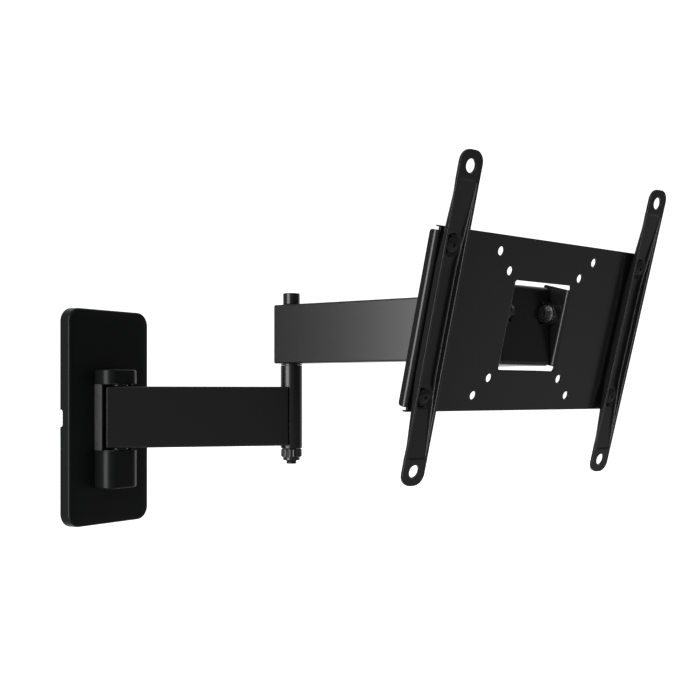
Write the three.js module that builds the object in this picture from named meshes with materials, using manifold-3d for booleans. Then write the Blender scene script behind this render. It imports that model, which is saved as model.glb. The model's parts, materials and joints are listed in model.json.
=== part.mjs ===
// Full motion TV wall mount: wall bracket, two arms, swivel bracket and tilting TV plate.
// Millimetres, +Z up, +X right along the wall, +Y into the wall.
// The origin is the centre of the wall plate's back face.

import * as THREE from 'three';
import { mergeVertices } from 'three/addons/utils/BufferGeometryUtils.js';
import Module from 'manifold-3d';

const wasm = await Module();
wasm.setup();

// Driving dimensions -------------------------------------------------------------------

const GAP = 0.3; // clearance between pieces that only touch
const TURN_SIDES = 22; // sides of a large round piece
const SMALL_SIDES = 14; // sides of a small round piece
const POST_SIDES = 32; // sides of the elbow post and of the notch round it
const SWEEP_SIDES = 48; // sides of the housing's scoop
const JOIN = 0.01; // overlap of two shapes that are joined

// Pose of the arms, in degrees seen from above
const LOWER_ARM_YAW = -39.1;
const UPPER_ARM_YAW = -86.5;
const HEAD_YAW = -15;
const HEAD_TILT = 15;

// Arms
const ARM_HEIGHT = 48.5;
const ARM_WIDTH = 21;
const TUBE_WALL = 2;
const LOWER_ARM_LENGTH = 139.5; // hinge axis to elbow axis
const UPPER_ARM_LENGTH = 185; // elbow axis to swivel axis
const ARM_OVERHANG = 10.3; // tube beyond the axes at its ends
const ARM_STEP = 67.6; // centre of the upper arm above the centre of the lower arm

// Wall plate and cover
const COVER_WIDTH = 82.5;
const COVER_HEIGHT = 171;
const COVER_DEPTH = 10.5;
const COVER_CORNER = 11;
const COVER_WALL = 1.8;
const COVER_EDGE = 1.6; // step that stands for the cover's rounded front edge
const COVER_OPENING = { bottom: -50, top: 34 };
const PRY_NOTCH = { z: -0.5, halfHeight: 6.7, depth: 2.6, radius: 2.2 };
const WALL_PLATE = { width: 70, height: 158, thickness: 3, corner: 6 };

// Wall hinge
const HINGE_Y = -20.9;
const HINGE_GAP_HALF = 26; // half the height between the two ears
const KNUCKLE_HALF_WIDTH = 16.3;
const KNUCKLE_FRONT = -28.2;
const KNUCKLE_CORNER = 10.5;
const UPPER_KNUCKLE_TOP = 37.7;
const LOWER_KNUCKLE_BOTTOM = -56.2;
const EAR_HALF_WIDTH = 14.2;
const EAR_THICKNESS = 5;
const EAR_FRONT = -26.4;
const EAR_CORNER = 8.5;
const CAP_WALL = 1.5;
const SCREW_FRONT = -12; // where the housing's screw holes start
const SCREW_TAIL = 0.6; // screw's end short of the wall
const SWEEP_RADIUS = 15.1; // room for the arm's square end to turn in

// Bolts
const M8 = { shaft: 4, hole: 4.3, head: 6.5 };
const HINGE_PIN = { shaft: 4, hole: 4.3, head: 5.4, headHeight: 3.3, bottom: -44, nutHeight: 7.7 };
const M6 = { shaft: 3, hole: 3.3, head: 5.2 };
const HEAD_HEIGHT = 3.6; // of a tilt bolt
const NUT_HEIGHT = { swivel: 6.5, tilt: 5, bar: 4 };
const COUNTERSINK = 7; // radius of the swivel bolt's flush head
const BOLT_TAIL = 8; // bolt beyond its nut's seat

// Tube fittings and washers
const BUSH_RADIUS = 6;
const BUSH_LENGTH = 8;
const PLUG_THICKNESS = 2;
const TUBE_CORNER = { outer: 1.6, inner: 0.8 };
const WASHER_RADIUS = 6.6;
const WASHER_THICKNESS = 1.1;

// Elbow
const POST_RADIUS = 9;
const POST_BORE = 6.9;
const PIN_RADIUS = 5;
const POST_BOTTOM = -26.6;
const POST_BUSH_LENGTH = 14;
const PIN_THREAD = 4.3;
const TOP_CAP = { radius: 7, height: 9.7 };
const RIBBED_NUT = {
  radius: 8.1, height: 7.2, collar: 7, length: 9.7,
  ribs: 18, ribRadius: 0.75, ribCentre: 7.9,
};
const PIN_TAIL = 3.2; // elbow pin beyond the ribbed nut
const PIN_RISE = 6; // elbow pin above the upper arm
const THRUST_WASHER = 0.9;

// Swivel bracket
const WEB_FRONT = -25.9; // front of the web, ahead of the swivel axis
const SHEET = 3;
const BRACKET_HALF_WIDTH = 26.4;
const BRACKET_HALF_HEIGHT = 28.9;
const PIVOT_FORWARD = 26.6;
const PIVOT_RISE = 9.4;
const LUG = { wide: 24, tongue: 14, shoulder: -20, waist: -6 }; // outline of a lug from above
const CHEEK = { lobe: 8, back: -12, halfHeight: 22 };
const NUT_ROOM = { width: 9, halfHeight: 8 }; // clearance in the web for a tilt nut

// TV plate
const PLATE_THICKNESS = 2;
const PLATE_FORWARD = 12; // plate front ahead of the tilt axis
const PLATE_DROP = 8.7; // plate centre below the tilt axis
const PLATE_HALF_WIDTH = 112.5;
const PLATE_HALF_HEIGHT = 61;
const FLANGE_DEPTH = 6.5;
const FLANGE_HALF_HEIGHT = 58;
const WINDOW_HALF = 28.4;
const RELIEF = { halfWidth: 30, height: 3.3 };
const EAR_DEPTH = 24;
const EAR_CORNERS = { lower: 7, upper: 1.5 };
const TILT_WASHER = 6.3;
const FRICTION_DISC = 8;
const BEND_RADIUS = 3;
const VESA_HOLE = 3.1;
const VESA_SQUARES = [75, 100];

// VESA bars
const BAR_SPACING = 200;
const BAR_HALF_LENGTH = 110;
const BAR_WIDTH = 20;
const BAR_DEPTH = 7.2;
const BAR_SHEET = 2;
const BAR_HOLE = 4.4;
const BAR_SCREW_Z = 50;
const BAR_END_RADIUS = 8;
const TAB_START = 92; // where a tab ends and the ramp down to the web starts
const RAMP_END = 35;
const DISH_RADIUS = 7.9; // flat seat for a screw, pressed into the ramp
const BAR_SCREW = { head: 5.6, height: 2.6, tail: 6 };

// Materials ------------------------------------------------------------------------------

function material(color, roughness, metalness) {
  return new THREE.MeshStandardMaterial({ color, roughness, metalness });
}

const powderCoat = material(0x222223, 0.45, 0.3);
const coverPlastic = material(0x151716, 0.55, 0);
const castCoat = material(0x2a2b2a, 0.45, 0.3);
const zinc = material(0xb8babc, 0.3, 1);
const darkSteel = material(0x303032, 0.4, 0.8);
const nylon = material(0x1a1a1a, 0.6, 0);

// Solids ---------------------------------------------------------------------------------

function solid(geometry) {
  geometry.deleteAttribute('normal');
  geometry.deleteAttribute('uv');
  const merged = mergeVertices(geometry, 1e-4);
  const index = merged.index.array;
  const kept = [];
  for (let i = 0; i < index.length; i += 3) {
    const [a, b, c] = [index[i], index[i + 1], index[i + 2]];
    if (a !== b && b !== c && c !== a) kept.push(a, b, c);
  }
  return new wasm.Manifold(new wasm.Mesh({
    numProp: 3,
    vertProperties: new Float32Array(merged.attributes.position.array),
    triVerts: new Uint32Array(kept),
  }));
}

function meshFrom(name, body, surface) {
  const data = body.getMesh();
  const geometry = new THREE.BufferGeometry();
  geometry.setAttribute('position', new THREE.BufferAttribute(data.vertProperties, 3));
  geometry.setIndex(new THREE.BufferAttribute(data.triVerts, 1));
  geometry.computeVertexNormals();
  const mesh = new THREE.Mesh(geometry, surface);
  mesh.name = name;
  return mesh;
}

// A box from its lowest to its highest corner
function box(low, high) {
  const size = high.map((value, i) => value - low[i]);
  const geometry = new THREE.BoxGeometry(...size);
  geometry.translate(...low.map((value, i) => value + size[i] / 2));
  return solid(geometry);
}

// A cylinder along Z between two heights
function roundZ(radius, bottom, top, { x = 0, y = 0, sides = SMALL_SIDES } = {}) {
  const geometry = new THREE.CylinderGeometry(radius, radius, top - bottom, sides);
  geometry.rotateX(Math.PI / 2);
  geometry.translate(x, y, (bottom + top) / 2);
  return solid(geometry);
}

// A cylinder along Y between two depths
function roundY(radius, front, back, { x = 0, z = 0, sides = SMALL_SIDES } = {}) {
  const geometry = new THREE.CylinderGeometry(radius, radius, back - front, sides);
  geometry.translate(x, (front + back) / 2, z);
  return solid(geometry);
}

// A cylinder along X between two places
function roundX(radius, left, right, { y = 0, z = 0, sides = SMALL_SIDES } = {}) {
  const geometry = new THREE.CylinderGeometry(radius, radius, right - left, sides);
  geometry.rotateZ(Math.PI / 2);
  geometry.translate((left + right) / 2, y, z);
  return solid(geometry);
}

function extrude(shape, depth, curveSegments) {
  return new THREE.ExtrudeGeometry(shape, { depth, bevelEnabled: false, curveSegments });
}

// An outline drawn in X and Y, raised along Z
function raise(shape, bottom, top, curveSegments = 5) {
  const geometry = extrude(shape, top - bottom, curveSegments);
  geometry.translate(0, 0, bottom);
  return solid(geometry);
}

// An outline drawn in X and Z, between two depths along Y
function panel(shape, front, back, curveSegments = 5) {
  const geometry = extrude(shape, back - front, curveSegments);
  geometry.rotateX(Math.PI / 2);
  geometry.translate(0, back, 0);
  return solid(geometry);
}

// An outline drawn in Y and Z, between two places along X
function side(shape, left, right, curveSegments = 5) {
  const geometry = extrude(shape, right - left, curveSegments);
  geometry.applyMatrix4(new THREE.Matrix4().makeBasis(
    new THREE.Vector3(0, 1, 0),
    new THREE.Vector3(0, 0, 1),
    new THREE.Vector3(1, 0, 0),
  ));
  geometry.translate(left, 0, 0);
  return solid(geometry);
}

// A rectangle with its four corners rounded
function roundedRectangle(x0, y0, x1, y1, radius) {
  const shape = new THREE.Shape();
  shape.moveTo(x0 + radius, y0);
  shape.lineTo(x1 - radius, y0);
  shape.absarc(x1 - radius, y0 + radius, radius, -Math.PI / 2, 0, false);
  shape.lineTo(x1, y1 - radius);
  shape.absarc(x1 - radius, y1 - radius, radius, 0, Math.PI / 2, false);
  shape.lineTo(x0 + radius, y1);
  shape.absarc(x0 + radius, y1 - radius, radius, Math.PI / 2, Math.PI, false);
  shape.lineTo(x0, y0 + radius);
  shape.absarc(x0 + radius, y0 + radius, radius, Math.PI, 1.5 * Math.PI, false);
  return shape;
}

function polygon(points) {
  return new THREE.Shape(points.map(([x, y]) => new THREE.Vector2(x, y)));
}

// A ring along Z
function ringZ(outer, inner, bottom, top, sides = SMALL_SIDES) {
  return roundZ(outer, bottom, top, { sides })
    .subtract(roundZ(inner, bottom - 1, top + 1, { sides }));
}

// A ring along X
function ringX(outer, inner, left, right, sides = SMALL_SIDES) {
  return roundX(outer, left, right, { sides })
    .subtract(roundX(inner, left - 1, right + 1, { sides }));
}

function nutZ(size, bottom, top) {
  return roundZ(size.head, bottom, top, { sides: 6 })
    .subtract(roundZ(size.hole, bottom - 1, top + 1));
}

// Wall side ------------------------------------------------------------------------------

const mount = new THREE.Group();
const armTop = ARM_HEIGHT / 2;

const HOUSING_BACK = -WALL_PLATE.thickness - GAP;
const CHEEK_FRONT = -18.4;
const HOUSING_SCREW_Z = [18, -18];
const SCREW_HOLE = 2.6;

function wallPlate() {
  const { width, height, thickness, corner } = WALL_PLATE;
  const outline = roundedRectangle(-width / 2, -height / 2, width / 2, height / 2, corner);
  const slotHalf = 9;
  const slotRadius = 4;
  const wallHoleZ = 60;
  const lowerHoleX = 22;
  const slot = roundedRectangle(-slotHalf, wallHoleZ - slotRadius, slotHalf, wallHoleZ + slotRadius, 3.9);
  let plate = panel(outline, -thickness, 0);
  plate = plate.subtract(panel(slot, -thickness - 1, 1));
  for (const x of [-lowerHoleX, lowerHoleX]) {
    plate = plate.subtract(roundY(slotRadius, -thickness - 1, 1, { x, z: -wallHoleZ }));
  }
  for (const z of HOUSING_SCREW_Z) {
    plate = plate.subtract(roundY(SCREW_HOLE, -thickness - 1, 1, { z }));
  }
  return plate;
}

// Two ears above and below the arm, joined by side cheeks scooped out for its turning end
function hingeHousing() {
  const gap = HINGE_GAP_HALF;
  const earTop = gap + EAR_THICKNESS;
  const front = EAR_FRONT;
  const corner = EAR_CORNER;
  const ear = new THREE.Shape();
  ear.moveTo(-EAR_HALF_WIDTH, HOUSING_BACK);
  ear.lineTo(-EAR_HALF_WIDTH, front + corner);
  ear.absarc(-EAR_HALF_WIDTH + corner, front + corner, corner, Math.PI, 1.5 * Math.PI, false);
  ear.lineTo(EAR_HALF_WIDTH - corner, front);
  ear.absarc(EAR_HALF_WIDTH - corner, front + corner, corner, -Math.PI / 2, 0, false);
  ear.lineTo(EAR_HALF_WIDTH, HOUSING_BACK);
  const cheeks = box([-KNUCKLE_HALF_WIDTH, CHEEK_FRONT, -gap], [KNUCKLE_HALF_WIDTH, HOUSING_BACK, gap]);
  let housing = raise(ear, -earTop, earTop)
    .add(cheeks)
    .subtract(roundZ(SWEEP_RADIUS, -gap, gap, { y: HINGE_Y, sides: SWEEP_SIDES }))
    .subtract(roundZ(HINGE_PIN.hole, -earTop - 1, earTop + 1, { y: HINGE_Y }));
  for (const z of HOUSING_SCREW_Z) {
    housing = housing.subtract(roundY(SCREW_HOLE, SCREW_FRONT, 0, { z }));
  }
  return housing;
}

// Flush screw through the housing's thin back into the wall plate
function housingScrew(z) {
  const front = HINGE_Y + SWEEP_RADIUS;
  return roundY(SCREW_HOLE - GAP, front, -SCREW_TAIL, { z });
}

function wallCover() {
  const outer = roundedRectangle(
    -COVER_WIDTH / 2, -COVER_HEIGHT / 2, COVER_WIDTH / 2, COVER_HEIGHT / 2, COVER_CORNER);
  const edge = COVER_EDGE;
  const front = roundedRectangle(
    -COVER_WIDTH / 2 + edge, -COVER_HEIGHT / 2 + edge,
    COVER_WIDTH / 2 - edge, COVER_HEIGHT / 2 - edge, COVER_CORNER - edge);
  const inner = roundedRectangle(
    -COVER_WIDTH / 2 + COVER_WALL, -COVER_HEIGHT / 2 + COVER_WALL,
    COVER_WIDTH / 2 - COVER_WALL, COVER_HEIGHT / 2 - COVER_WALL, COVER_CORNER - COVER_WALL);
  const openingHalf = EAR_HALF_WIDTH + GAP;
  const opening = box(
    [-openingHalf, -COVER_DEPTH - 1, COVER_OPENING.bottom], [openingHalf, 0, COVER_OPENING.top]);
  const cheekRoom = box(
    [-KNUCKLE_HALF_WIDTH - GAP, -COVER_DEPTH - 1, -HINGE_GAP_HALF - GAP],
    [KNUCKLE_HALF_WIDTH + GAP, 0, HINGE_GAP_HALF + GAP]);
  const { z, halfHeight, depth, radius } = PRY_NOTCH;
  const notch = roundedRectangle(-depth, z - halfHeight, depth, z + halfHeight, radius);
  return panel(outer, -COVER_DEPTH + edge, 0, 8)
    .add(panel(front, -COVER_DEPTH, -COVER_DEPTH + edge + JOIN, 8))
    .subtract(panel(inner, -COVER_DEPTH + COVER_WALL, 1, 8))
    .subtract(opening)
    .subtract(cheekRoom)
    .subtract(side(notch, -COVER_WIDTH / 2 - 1, -COVER_WIDTH / 2 + COVER_WALL + 1));
}

// A hollow cap over a hinge ear: open behind and towards the arm
function hingeCap(bottom, top, openAtBottom) {
  const wall = CAP_WALL;
  const half = KNUCKLE_HALF_WIDTH;
  const inset = half - wall;
  const back = -COVER_DEPTH - GAP;
  const behind = back + KNUCKLE_CORNER + 1;
  const outerBlock = roundedRectangle(-half, KNUCKLE_FRONT, half, behind, KNUCKLE_CORNER);
  const innerBlock = roundedRectangle(
    -inset, KNUCKLE_FRONT + wall, inset, behind, KNUCKLE_CORNER - wall);
  const floor = openAtBottom ? bottom - 1 : bottom + wall;
  const ceiling = openAtBottom ? top - wall : top + 1;
  const cut = box([-half - 1, back, bottom - 2], [half + 1, behind + 1, top + 2]);
  return raise(outerBlock, bottom, top)
    .subtract(raise(innerBlock, floor, ceiling))
    .subtract(cut);
}

// The hinge pin and its nut have round heads that fit inside the caps
function hingePin(earTop) {
  const seat = earTop + GAP;
  return roundZ(HINGE_PIN.shaft, HINGE_PIN.bottom, seat + JOIN)
    .add(roundZ(HINGE_PIN.head, seat, seat + HINGE_PIN.headHeight));
}

function hingeNut(earTop) {
  const seat = -earTop - GAP;
  return ringZ(HINGE_PIN.head, HINGE_PIN.hole, seat - HINGE_PIN.nutHeight, seat);
}

function addWallSide(group) {
  const earTop = HINGE_GAP_HALF + EAR_THICKNESS;
  const place = (body) => body.translate([0, HINGE_Y, 0]);
  group.add(
    meshFrom('wall_plate', wallPlate(), powderCoat),
    meshFrom('hinge_housing', hingeHousing(), castCoat),
    meshFrom('housing_screw_upper', housingScrew(HOUSING_SCREW_Z[0]), darkSteel),
    meshFrom('housing_screw_lower', housingScrew(HOUSING_SCREW_Z[1]), darkSteel),
    meshFrom('wall_cover', wallCover(), coverPlastic),
    meshFrom('upper_hinge_cap', hingeCap(HINGE_GAP_HALF + GAP, UPPER_KNUCKLE_TOP, true), coverPlastic),
    meshFrom('lower_hinge_cap', hingeCap(LOWER_KNUCKLE_BOTTOM, -HINGE_GAP_HALF - GAP, false), coverPlastic),
    meshFrom('wall_hinge_bolt', place(hingePin(earTop)), darkSteel),
    meshFrom('wall_hinge_nut', place(hingeNut(earTop)), darkSteel),
  );
}

addWallSide(mount);

// Arms -----------------------------------------------------------------------------------

// A rectangular tube along X, open at both ends
function armTube(start, end) {
  const half = ARM_WIDTH / 2;
  const outer = roundedRectangle(-half, -armTop, half, armTop, TUBE_CORNER.outer);
  const inner = roundedRectangle(
    -half + TUBE_WALL, -armTop + TUBE_WALL, half - TUBE_WALL, armTop - TUBE_WALL, TUBE_CORNER.inner);
  return side(outer, start, end, 3).subtract(side(inner, start - 1, end + 1, 3));
}

// Holes through the top and bottom walls of a tube
function drilled(tube, x, radius) {
  return tube.subtract(roundZ(radius, -armTop - 1, armTop + 1, { x }));
}

// A plastic plug in the mouth of a tube, flush with its end
function tubePlug(mouth, inwards) {
  const half = ARM_WIDTH / 2 - TUBE_WALL - GAP;
  const halfHeight = armTop - TUBE_WALL - GAP;
  const inner = mouth + inwards * PLUG_THICKNESS;
  const [left, right] = inwards > 0 ? [mouth, inner] : [inner, mouth];
  return side(roundedRectangle(-half, -halfHeight, half, halfHeight, 0.6), left, right, 2);
}

// A short nylon bush in a tube wall, above (1) or below (-1) the centre
function armBush(x, direction) {
  const inner = armTop - BUSH_LENGTH;
  const [bottom, top] = direction > 0 ? [inner, armTop] : [-armTop, -inner];
  return ringZ(BUSH_RADIUS, M8.hole, bottom, top).translate([x, 0, 0]);
}

const BUSH_HOLE = BUSH_RADIUS + GAP;

// A washer in the gap between a tube and the ear or lug beside it
function gapWasher(direction) {
  const near = armTop + GAP;
  const [bottom, top] = direction > 0
    ? [near, near + WASHER_THICKNESS]
    : [-near - WASHER_THICKNESS, -near];
  return ringZ(WASHER_RADIUS, M8.hole, bottom, top, TURN_SIDES);
}

const lowerArm = new THREE.Group();
lowerArm.position.set(0, HINGE_Y, 0);
lowerArm.rotation.z = THREE.MathUtils.degToRad(LOWER_ARM_YAW);
mount.add(lowerArm);

function lowerArmTube() {
  const end = LOWER_ARM_LENGTH - 5;
  const notch = roundZ(POST_RADIUS + GAP, -armTop - 1, armTop + 1, {
    x: LOWER_ARM_LENGTH, sides: POST_SIDES,
  });
  return drilled(armTube(-ARM_OVERHANG, end), 0, BUSH_HOLE).subtract(notch);
}

const POST_TOP = ARM_STEP - armTop - THRUST_WASHER - 2 * GAP;

function elbowPost() {
  const post = ringZ(POST_RADIUS, POST_BORE, POST_BOTTOM, POST_TOP, POST_SIDES);
  return post.translate([LOWER_ARM_LENGTH, 0, 0]);
}

function elbowBush(bottom, top) {
  const bush = ringZ(POST_BORE - GAP, PIN_RADIUS + GAP, bottom, top);
  return bush.translate([LOWER_ARM_LENGTH, 0, 0]);
}

lowerArm.add(
  meshFrom('wall_washer_top', gapWasher(1), nylon),
  meshFrom('wall_washer_bottom', gapWasher(-1), nylon),
  meshFrom('lower_arm_tube', lowerArmTube(), powderCoat),
  meshFrom('lower_arm_end_plug', tubePlug(-ARM_OVERHANG, 1), nylon),
  meshFrom('lower_arm_bush_top', armBush(0, 1), nylon),
  meshFrom('lower_arm_bush_bottom', armBush(0, -1), nylon),
  meshFrom('elbow_post', elbowPost(), powderCoat),
  meshFrom('elbow_bush_upper', elbowBush(POST_TOP - POST_BUSH_LENGTH, POST_TOP), nylon),
  meshFrom('elbow_bush_lower', elbowBush(POST_BOTTOM, POST_BOTTOM + POST_BUSH_LENGTH), nylon),
);

const upperArm = new THREE.Group();
upperArm.position.set(LOWER_ARM_LENGTH, 0, ARM_STEP);
upperArm.rotation.z = THREE.MathUtils.degToRad(UPPER_ARM_YAW - LOWER_ARM_YAW);
lowerArm.add(upperArm);

function upperArmTube() {
  const tube = armTube(-ARM_OVERHANG, UPPER_ARM_LENGTH + ARM_OVERHANG);
  return drilled(drilled(tube, 0, PIN_RADIUS + GAP), UPPER_ARM_LENGTH, BUSH_HOLE);
}

const PIN_TOP = armTop + PIN_RISE;
const PIN_SHOULDER = POST_BOTTOM - ARM_STEP;
const PIN_END = PIN_SHOULDER - RIBBED_NUT.length - PIN_TAIL;

function elbowPin() {
  return roundZ(PIN_RADIUS, PIN_SHOULDER, PIN_TOP)
    .add(roundZ(PIN_THREAD, PIN_END, PIN_SHOULDER + JOIN));
}

function elbowTopCap() {
  return roundZ(TOP_CAP.radius, armTop + GAP, armTop + TOP_CAP.height, { sides: TURN_SIDES })
    .subtract(roundZ(PIN_RADIUS + GAP, armTop - 1, PIN_TOP + GAP));
}

// The ribbed adjusting nut under the post
function elbowNut() {
  const { radius, height, ribs, ribRadius, ribCentre, collar, length } = RIBBED_NUT;
  const top = PIN_SHOULDER - GAP;
  const bottom = top - height;
  let nut = roundZ(radius, bottom, top, { sides: TURN_SIDES });
  for (let i = 0; i < ribs; i += 1) {
    const angle = (i / ribs) * 2 * Math.PI;
    nut = nut.add(roundZ(ribRadius, bottom + GAP, top - GAP, {
      x: ribCentre * Math.cos(angle), y: ribCentre * Math.sin(angle), sides: 6,
    }));
  }
  return nut.add(roundZ(collar, top - length, bottom + JOIN, { sides: TURN_SIDES }))
    .subtract(roundZ(PIN_THREAD + GAP, top - length - 1, top + 1));
}

function elbowThrustWasher() {
  const top = -armTop - GAP;
  return ringZ(POST_RADIUS, PIN_RADIUS + GAP, top - THRUST_WASHER, top, TURN_SIDES);
}

upperArm.add(
  meshFrom('upper_arm_tube', upperArmTube(), powderCoat),
  meshFrom('upper_arm_rear_plug', tubePlug(-ARM_OVERHANG, 1), nylon),
  meshFrom('upper_arm_front_plug', tubePlug(UPPER_ARM_LENGTH + ARM_OVERHANG, -1), nylon),
  meshFrom('elbow_pin', elbowPin(), darkSteel),
  meshFrom('elbow_top_cap', elbowTopCap(), powderCoat),
  meshFrom('elbow_thrust_washer', elbowThrustWasher(), nylon),
  meshFrom('elbow_adjusting_nut', elbowNut(), nylon),
  meshFrom('swivel_bush_top', armBush(UPPER_ARM_LENGTH, 1), nylon),
  meshFrom('swivel_bush_bottom', armBush(UPPER_ARM_LENGTH, -1), nylon),
);

// Swivel bracket: +X to the right of the head, -Y forward --------------------------------

const head = new THREE.Group();
head.position.set(UPPER_ARM_LENGTH, 0, 0);
head.rotation.z = THREE.MathUtils.degToRad(HEAD_YAW - UPPER_ARM_YAW);
upperArm.add(head);

function bracketLug(bottom, top) {
  const { wide, tongue, shoulder, waist } = LUG;
  const inWeb = WEB_FRONT + SHEET / 6;
  const outline = [
    [-wide, inWeb], [wide, inWeb], [wide, shoulder], [tongue, waist], [-tongue, waist], [-wide, shoulder],
  ];
  return raise(polygon(outline), bottom, top)
    .add(roundZ(tongue, bottom, top, { sides: TURN_SIDES }))
    .add(box([-tongue, waist - 1, bottom], [tongue, 0, top]))
    .subtract(roundZ(M8.hole, bottom - 1, top + 1));
}

// A side cheek of the bracket, with a rounded lobe round the tilt axis
function bracketCheek(left, right) {
  const { lobe, back, halfHeight } = CHEEK;
  const inWeb = WEB_FRONT + SHEET / 6;
  return box([left, inWeb, -halfHeight], [right, back, halfHeight])
    .add(roundX(lobe, left, right, { y: -PIVOT_FORWARD, z: PIVOT_RISE, sides: TURN_SIDES }));
}

function swivelBracket() {
  const half = BRACKET_HALF_WIDTH;
  const tall = BRACKET_HALF_HEIGHT;
  const inner = half - SHEET;
  const nutRoom = box(
    [inner - NUT_ROOM.width, WEB_FRONT - 1, PIVOT_RISE - NUT_ROOM.halfHeight],
    [inner, WEB_FRONT + SHEET + 1, PIVOT_RISE + NUT_ROOM.halfHeight]);
  const web = panel(roundedRectangle(-half, -tall, half, tall, 1.5), WEB_FRONT, WEB_FRONT + SHEET, 2);
  return web
    .subtract(nutRoom)
    .subtract(nutRoom.mirror([1, 0, 0]))
    .add(bracketLug(tall - SHEET, tall))
    .add(bracketLug(-tall, -tall + SHEET))
    .add(bracketCheek(inner, half))
    .add(bracketCheek(-half, -inner))
    .subtract(countersunk(GAP + 0.1))
    .subtract(roundX(M6.hole, -half - 1, half + 1, { y: -PIVOT_FORWARD, z: PIVOT_RISE }));
}

// The swivel bolt's flush head, or with a margin the seat for it in the lower lug
function countersunk(margin) {
  const bottom = -BRACKET_HALF_HEIGHT;
  const geometry = new THREE.CylinderGeometry(M8.shaft + margin, COUNTERSINK + margin, SHEET, TURN_SIDES);
  geometry.rotateX(Math.PI / 2);
  geometry.translate(0, 0, bottom + SHEET / 2);
  return solid(geometry);
}

function swivelBolt() {
  return countersunk(0)
    .add(roundZ(M8.shaft, -BRACKET_HALF_HEIGHT + 1, BRACKET_HALF_HEIGHT + BOLT_TAIL));
}

function swivelNut() {
  const seat = BRACKET_HALF_HEIGHT + GAP;
  return nutZ(M8, seat, seat + NUT_HEIGHT.swivel);
}

head.add(
  meshFrom('swivel_bracket', swivelBracket(), powderCoat),
  meshFrom('swivel_washer_top', gapWasher(1), nylon),
  meshFrom('swivel_washer_bottom', gapWasher(-1), nylon),
  meshFrom('swivel_bolt', swivelBolt(), darkSteel),
  meshFrom('swivel_nut', swivelNut(), darkSteel),
);

// Tilting head ---------------------------------------------------------------------------

const tilt = new THREE.Group();
tilt.position.set(0, -PIVOT_FORWARD, PIVOT_RISE);
tilt.rotation.x = THREE.MathUtils.degToRad(HEAD_TILT);
head.add(tilt);

// Tilt fasteners of the right side; the left side is their mirror image
const EAR_INNER = WINDOW_HALF;
const EAR_OUTER = WINDOW_HALF + PLATE_THICKNESS;
const CHEEK_INNER = BRACKET_HALF_WIDTH - SHEET;

function tiltPieces() {
  const headStart = EAR_OUTER + GAP;
  const boltEnd = CHEEK_INNER - BOLT_TAIL;
  const bolt = roundX(M6.shaft, boltEnd, headStart + JOIN)
    .add(roundX(M6.head, headStart, headStart + HEAD_HEIGHT, { sides: 6 }));
  const washerEnd = CHEEK_INNER - GAP;
  const washer = ringX(TILT_WASHER, M6.hole, washerEnd - WASHER_THICKNESS, washerEnd, TURN_SIDES);
  const nutEnd = washerEnd - WASHER_THICKNESS - GAP;
  const nut = roundX(M6.head, nutEnd - NUT_HEIGHT.tilt, nutEnd, { sides: 6 })
    .subtract(roundX(M6.hole, nutEnd - NUT_HEIGHT.tilt - 1, nutEnd + 1));
  const friction = ringX(FRICTION_DISC, M6.hole, BRACKET_HALF_WIDTH + GAP, EAR_INNER - GAP, TURN_SIDES);
  return { bolt, nut, washer, friction };
}

for (const [place, mirror] of [['right', false], ['left', true]]) {
  const surfaces = { bolt: darkSteel, nut: darkSteel, washer: zinc, friction: nylon };
  const names = { bolt: 'tilt_bolt', nut: 'tilt_nut', washer: 'tilt_washer', friction: 'tilt_friction_disc' };
  for (const [key, body] of Object.entries(tiltPieces())) {
    const placed = mirror ? body.mirror([1, 0, 0]) : body;
    tilt.add(meshFrom(`${names[key]}_${place}`, placed, surfaces[key]));
  }
}

const plate = new THREE.Group();
plate.position.set(0, -PLATE_FORWARD, -PLATE_DROP);
tilt.add(plate);

// Cross-section of the right half of the plate: window ear, bend, face, bend, flange
function plateSection(innerX, outerX, earDepth, flangeDepth) {
  const outerBend = BEND_RADIUS;
  const innerBend = BEND_RADIUS - PLATE_THICKNESS;
  const shape = new THREE.Shape();
  shape.moveTo(innerX, earDepth);
  shape.lineTo(innerX, outerBend);
  shape.absarc(innerX + outerBend, outerBend, outerBend, Math.PI, 1.5 * Math.PI, false);
  shape.lineTo(outerX - outerBend, 0);
  shape.absarc(outerX - outerBend, outerBend, outerBend, -Math.PI / 2, 0, false);
  shape.lineTo(outerX, flangeDepth);
  shape.lineTo(outerX - PLATE_THICKNESS, flangeDepth);
  shape.lineTo(outerX - PLATE_THICKNESS, outerBend);
  shape.absarc(outerX - outerBend, outerBend, innerBend, 0, -Math.PI / 2, true);
  shape.lineTo(innerX + outerBend, PLATE_THICKNESS);
  shape.absarc(innerX + outerBend, outerBend, innerBend, -Math.PI / 2, -Math.PI, true);
  shape.lineTo(innerX + PLATE_THICKNESS, earDepth);
  return shape;
}

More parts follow.
